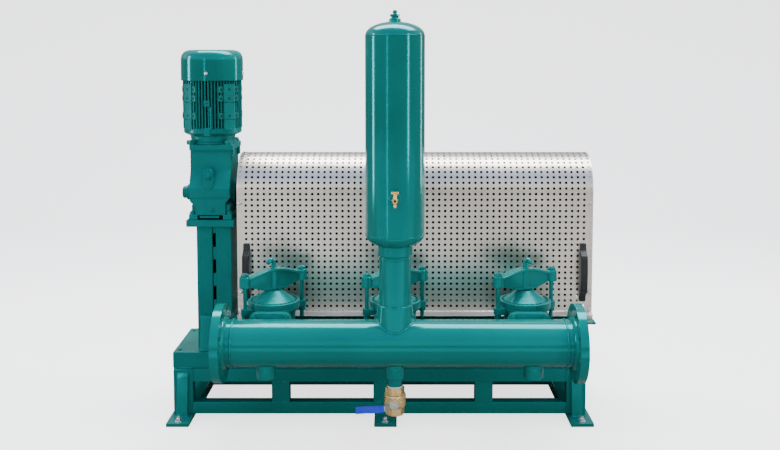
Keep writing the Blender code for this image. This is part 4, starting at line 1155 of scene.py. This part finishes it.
# %% Fasteners
anchor = [drum(0.0165, (0, 0, 0), (0, 0, 0.003), 28, 0.0008), hexagon(0.0130, 0.003, 0.0130, 0.0012),
          drum(0.0075, (0, 0, 0.012), (0, 0, 0.0200), 20, 0.0012)]
fasteners("anchor bolts", anchor, [((x, FACE[side] + side * 0.0728, 0.0145), (0, 0, 1)) for x in FOOT_X
                                   for side in (-1, 1)], ZINC)
spots = []
for x in HEAD_X.values():
    for side in (-1, 1):
        for dx in (-0.0625, 0.0625):
            for dz in (-0.0625, 0.0625):
                spots.append(((x + dx, side * 0.4387, PIPE_Z + dz), (0, -side, 0)))
                spots.append(((x + dx, side * 0.4700, PIPE_Z + dz), (0, side, 0)))
for x in (-0.7660, -0.6180):
    for y in (-0.1120, 0.0980):
        spots.append(((x, y, 0.8335), (0, 0, 1)))
flange_bolt = [drum(0.0135, (0, 0, 0), (0, 0, 0.0022), 24, 0.0006), hexagon(0.0118, 0.0020, 0.0105, 0.0012),
               drum(0.0062, (0, 0, 0.010), (0, 0, 0.0135), 16, 0.0010)]
fasteners("painted bolts", flange_bolt, spots, CAST)

stud = [drum(0.0030, (0, 0, 0), (0, 0, 0.0045), 12, 0.0006)]
spots = []
for x in HEAD_X.values():
    for side in (-1, 1):
        for u, v in circle(0.0845, x, side * CHAMBER_Y, sides=28):
            spots.append(((u, v, 0.5410), (0, 0, 1)))
fasteners("cover studs", stud, spots, CAST)

dome_head = [turned([(0, 0.0046), (0.0035, 0.0044), (0.0068, 0.0020), (0.0072, 0), (0, 0)], 0.0010, 24)]
spots = [((x, side * (GUARD_R + 0.0002), z), (0, side, 0)) for x in (-0.5665, 0.8400) for z in (0.883, 0.520)
         for side in (-1, 1)]
spots += [((x, side * (GUARD_R + 0.0026), 0.4480), (0, side, 0)) for x in (-0.568, 0.841) for side in (-1, 1)]
spots += [((x, side * (GUARD_R + 0.0180), 0.4325), (0, 0, 1)) for x in (-0.568, 0.841) for side in (-1, 1)]
spots += [((x, 0, SPRING_Z + GUARD_R), (0, 0, 1)) for x in (-0.5665, 0.8400)]
for k in range(4):
    angle = math.radians(90 * k)
    way = (math.cos(angle), math.sin(angle), 0)
    spots.append(((MOTOR_X + 0.1258 * way[0], 0.1258 * way[1], 1.403), way))
fasteners("guard and cowl screws", dome_head, spots, ZINC)

cap_screw = [drum(0.0075, (0, 0, 0), (0, 0, 0.0070), 24, 0.0010), hexagon(0.0100, -0.0005, 0.0012, 0.0003)]
spots = [((x, y, 1.1141), (0, 0, 1)) for x in (-0.7680, -0.6140) for y in (-0.086, 0.086)]
fasteners("motor flange screws", cap_screw, spots, CAST)
socket_screw = [drum(0.0052, (0, 0, 0), (0, 0, 0.0028), 20, 0.0006)]
spots = [((x, -GUARD_R - 0.0080, z), (0, -1, 0)) for x in (-0.542, 0.813) for z in (0.4935, 0.7105)]
fasteners("handle screws", socket_screw, spots, BLACK)
print("fasteners placed")

# %% [markdown]
# ## Weld beads
# Joints of the frame, pipework and vessel carry beads along their lines. On round pipe the line
# of a joint follows a saddle, so its height comes from the pipe's own circle.

# %% Weld lines


def ring_line(radius, centre, axis="Z", count=48):
    """A closed ring of points round an axis."""
    cx, cy, cz = centre
    place = {"X": lambda u, v: (cx, cy + u, cz + v), "Y": lambda u, v: (cx + u, cy, cz + v), "Z": lambda u,
             v: (cx + u, cy + v, cz)}[axis]
    points = [place(u, v) for u, v in circle(radius, sides=count)]
    return points + points[:1]


def saddle_line(radius, x, side, up):
    """Where an upright round meets the manifold's pipe, above or below it."""
    points = [(x + u, side * PIPE_Y + v, PIPE_Z + up * (math.sqrt(PIPE_R ** 2 - v ** 2) + 0.0006)) for u,
              v in circle(radius, sides=60)]
    return points + points[:1]


pipe_lines = [saddle_line(0.0650, VESSEL_X, -1, 1)]
for side in (-1, 1):
    pipe_lines += [saddle_line(0.0330, x, side, -1) for x in HEAD_X.values()]
    pipe_lines += [ring_line(0.0852, (PIPE_MID_X + end * 0.5940, side * PIPE_Y, PIPE_Z), "X", 72)
                   for end in (-1, 1)]
pipe_lines += [ring_line(0.0600, (VESSEL_X, -PIPE_Y, 0.5868)),
               ring_line(0.0186, (VESSEL_X, -PIPE_Y - 0.1055, COCK_Z), "Y")]
beads("pipe welds", pipe_lines, radius=0.0034)
fine_lines = [ring_line(0.1047, (VESSEL_X, -PIPE_Y, z), count=96) for z in (0.8415, 1.5420)]
fine_lines += [ring_line(0.0580, (VESSEL_X, -PIPE_Y, 0.7535)), ring_line(0.0625, (VESSEL_X, -PIPE_Y, 0.8020))]
beads("vessel seams", fine_lines, PAINT, radius=0.0016, spacing=0.004)

frame_lines = []
for side in (-1, 1):
    y = FACE[side]
    for x in POST_X:
        for z in (0.064, 0.148):
            frame_lines.append([(x - 0.035, y, z), (x + 0.035, y, z)])
    for x in (FRAME_X[0] + LEG, FRAME_X[1] - LEG):
        frame_lines += [[(x, y, 0.018), (x, y, 0.062)], [(x, y, 0.150), (x, y, 0.199)]]
    for x in (FRAME_X[0] + LEG / 2, FRAME_X[1] - LEG / 2):
        top = y + side * 0.032
        frame_lines.append([(x - 0.024, y, 0.016), (x - 0.024, top, 0.016), (x + 0.024, top, 0.016),
                            (x + 0.024, y, 0.016)])
        for edge in (-0.0235, 0.0235):
            frame_lines.append([(x + edge, y, 0.020), (x + edge, y, 0.186)])
    frame_lines.append([(FOOT_X[1] - 0.044, y, 0.0155), (FOOT_X[1] + 0.044, y, 0.0155)])
beads("frame welds", frame_lines, radius=0.0026)

stitch_lines = []
for a, b in ((-0.846, -0.767), (-0.622, -0.590), (-0.346, -0.300), (-0.099, -0.038), (0.101, 0.158),
             (0.420, 0.470), (0.735, 0.833)):
    stitch_lines += [[(a, BED_Y[0] + 0.0040, 0.2055), (b, BED_Y[0] + 0.0040, 0.2055)],
                     [(a, BED_Y[1] - 0.0040, 0.2055), (b, BED_Y[1] - 0.0040, 0.2055)]]
x0, x1 = PEDESTAL_X - 0.0655, PEDESTAL_X + 0.0715
stitch_lines.append([(x0, -0.1055, 0.2720), (x1, -0.1055, 0.2720), (x1, 0.0555, 0.2720),
                     (x0, 0.0555, 0.2720), (x0, -0.1055, 0.2720)])
stitch_lines.append([(x0, -0.1055, 0.7815), (x1, -0.1055, 0.7815), (x1, 0.0555, 0.7815),
                     (x0, 0.0555, 0.7815), (x0, -0.1055, 0.7815)])
for edge in (-0.0540, 0.0540):
    stitch_lines.append([(PEDESTAL_X + edge, -0.1060, 0.275), (PEDESTAL_X + edge, -0.1060, 0.412)])
beads("stitch welds", stitch_lines, radius=0.0040, spacing=0.0034)
print("weld lines:", len(pipe_lines) + len(fine_lines) + len(frame_lines) + len(stitch_lines))

# %% [markdown]
# ## Studio
# A pale floor that sweeps up behind the machine, a large soft light above for the bright tops,
# and four narrow ones from the sides for the tall highlights on the round shapes. The camera sees
# a pale glowing paper. All other rays see painted shade: the floor near the machine and the foot
# of the wall are painted dark, and the paint mirrors this painted shade.
# The camera stands in front of the air vessel, higher than the guard, and looks slightly down.

# %% Floor, lights and camera
profile = [(-9.0, 0.0), (4.0, 0.0)]
profile += [(4.0 + 3.0 * math.sin(math.radians(6 * k)), 3.0 - 3.0 * math.cos(math.radians(6 * k)))
            for k in range(1, 16)]
profile += [(7.0, 9.0)]
backdrop_mesh = bpy.data.meshes.new("backdrop")
verts = [(x, y, z) for y, z in profile for x in (-12.0, 12.0)]
backdrop_mesh.from_pydata(verts, [], [(2 * i, 2 * i + 1, 2 * i + 3, 2 * i + 2)
                                      for i in range(len(profile) - 1)])
backdrop_mesh.shade_smooth()
backdrop = linked("backdrop", backdrop_mesh)
paper = bpy.data.materials.new("pale_paper")
paper.use_nodes = True
sheet_of_paper = paper.node_tree.nodes["Principled BSDF"]
sheet_of_paper.inputs["Roughness"].default_value = 0.85
sheet_of_paper.inputs["Emission Color"].default_value = (1, 1, 1, 1)
paper_tree = paper.node_tree
seen = add(paper_tree, "ShaderNodeLightPath")
spot = add(paper_tree, "ShaderNodeTexCoord")
axes = add(paper_tree, "ShaderNodeSeparateXYZ")
# Painted shade for all rays but the camera's: dark from y = -1.7 back and up the wall to about 2 m, fading to
# lit beige by 3 m.
near = add(paper_tree, "ShaderNodeMapRange", From_Min=-1.75, From_Max=-1.65)
wall = add(paper_tree, "ShaderNodeMapRange", From_Min=1.9, From_Max=3.0, To_Min=1.0, To_Max=0.0)
shade = add(paper_tree, "ShaderNodeMath", operation="MULTIPLY")
painted_floor_shade = add(paper_tree, "ShaderNodeMix", data_type="RGBA")
painted_floor_shade.inputs["A"].default_value = (0.84, 0.78, 0.70, 1)
painted_floor_shade.inputs["B"].default_value = (0.22, 0.21, 0.19, 1)
tone = add(paper_tree, "ShaderNodeMix", data_type="RGBA")
tone.inputs["B"].default_value = (0.86, 0.86, 0.86, 1)
glow = add(paper_tree, "ShaderNodeMath", operation="MULTIPLY")
glow.inputs[1].default_value = 2.0
wire(paper_tree, (spot, "Object", axes, "Vector"), (axes, "Y", near, "Value"), (axes, "Z", wall, "Value"),
     (near, "Result", shade, 0), (wall, "Result", shade, 1), (shade, 0, painted_floor_shade, "Factor"),
     (painted_floor_shade, "Result", tone, "A"), (seen, "Is Camera Ray", tone, "Factor"),
     (tone, "Result", sheet_of_paper, "Base Color"), (seen, "Is Camera Ray", glow, 0),
     (glow, 0, sheet_of_paper, "Emission Strength"))
backdrop_mesh.materials.append(paper)
backdrop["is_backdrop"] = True


def softbox(name, place, target, size, power):
    lamp = bpy.data.lights.new(name, "AREA")
    lamp.shape = "RECTANGLE"
    lamp.size, lamp.size_y = size
    lamp.energy = power
    stand = linked(name, lamp)
    stand.location = place
    stand.rotation_euler = (Vector(target) - Vector(place)).to_track_quat("-Z", "Y").to_euler()


softbox("top light", (0.2, 0.6, 4.2), (0, -0.1, 0.6), (4.6, 1.7), 330)
for name, place, size, power in (("far left strip", (-4.0, -0.5, 1.5), (0.50, 2.2), 54),
                                 ("left strip", (-1.9, -4.0, 1.3), (0.22, 2.4), 10),
                                 ("right strip", (3.3, -3.1, 1.6), (0.40, 2.0), 34),
                                 ("far right strip", (3.8, 1.6, 1.5), (0.30, 2.2), 24)):
    softbox(name, place, (0, 0, place[2]), size, power)
ROOM = [(0.0, (0.30, 0.27, 0.23)), (0.03, (0.60, 0.54, 0.47)), (0.08, (0.96, 0.89, 0.81)),
        (0.12, (2.6, 2.55, 2.46)), (0.38, (2.6, 2.6, 2.6)), (0.50, (1.20, 1.56, 2.24)),
        (0.90, (1.20, 1.56, 2.24)), (0.98, (1.6, 1.6, 1.6))]
world = bpy.data.worlds.new("studio")
bpy.context.scene.world = world
world.use_nodes = True
sky_tree = world.node_tree
sky = sky_tree.nodes["Background"]
around = add(sky_tree, "ShaderNodeTexCoord")
height = add(sky_tree, "ShaderNodeSeparateXYZ")
tones = add(sky_tree, "ShaderNodeValToRGB")
for place, colour in ROOM[1:-1]:
    tones.color_ramp.elements.new(place).color = (*colour, 1)
tones.color_ramp.elements[0].color, tones.color_ramp.elements[-1].color = (*ROOM[0][1], 1), (*ROOM[-1][1], 1)
wire(sky_tree, (around, "Generated", height, "Vector"), (height, "Z", tones, "Fac"),
     (tones, "Color", sky, "Color"))
sky.inputs["Strength"].default_value = 0.50

eye = bpy.data.cameras.new("camera")
eye.sensor_width, eye.lens = 36.0, 41.54
eye.shift_x, eye.shift_y = -0.0064, -0.1274
eye.clip_end = 60.0
camera = linked("camera", eye)
camera.location = (0.056, -3.725, 1.457)
camera.rotation_euler = (math.radians(90 - 4.17), 0, 0)
bpy.context.scene.camera = camera
print("camera at", tuple(round(value, 3) for value in camera.location))

# %% [markdown]
# ## Finish
# The box round the machine is measured again and printed beside the CAD box.

# %% Sizes
sizes = {"cad_box": [list(corner) for corner in size_before],
         "visual_box": [list(corner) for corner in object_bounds()]}
for label, (low, high) in sizes.items():
    print(label, [round(value, 4) for value in low], [round(value, 4) for value in high])
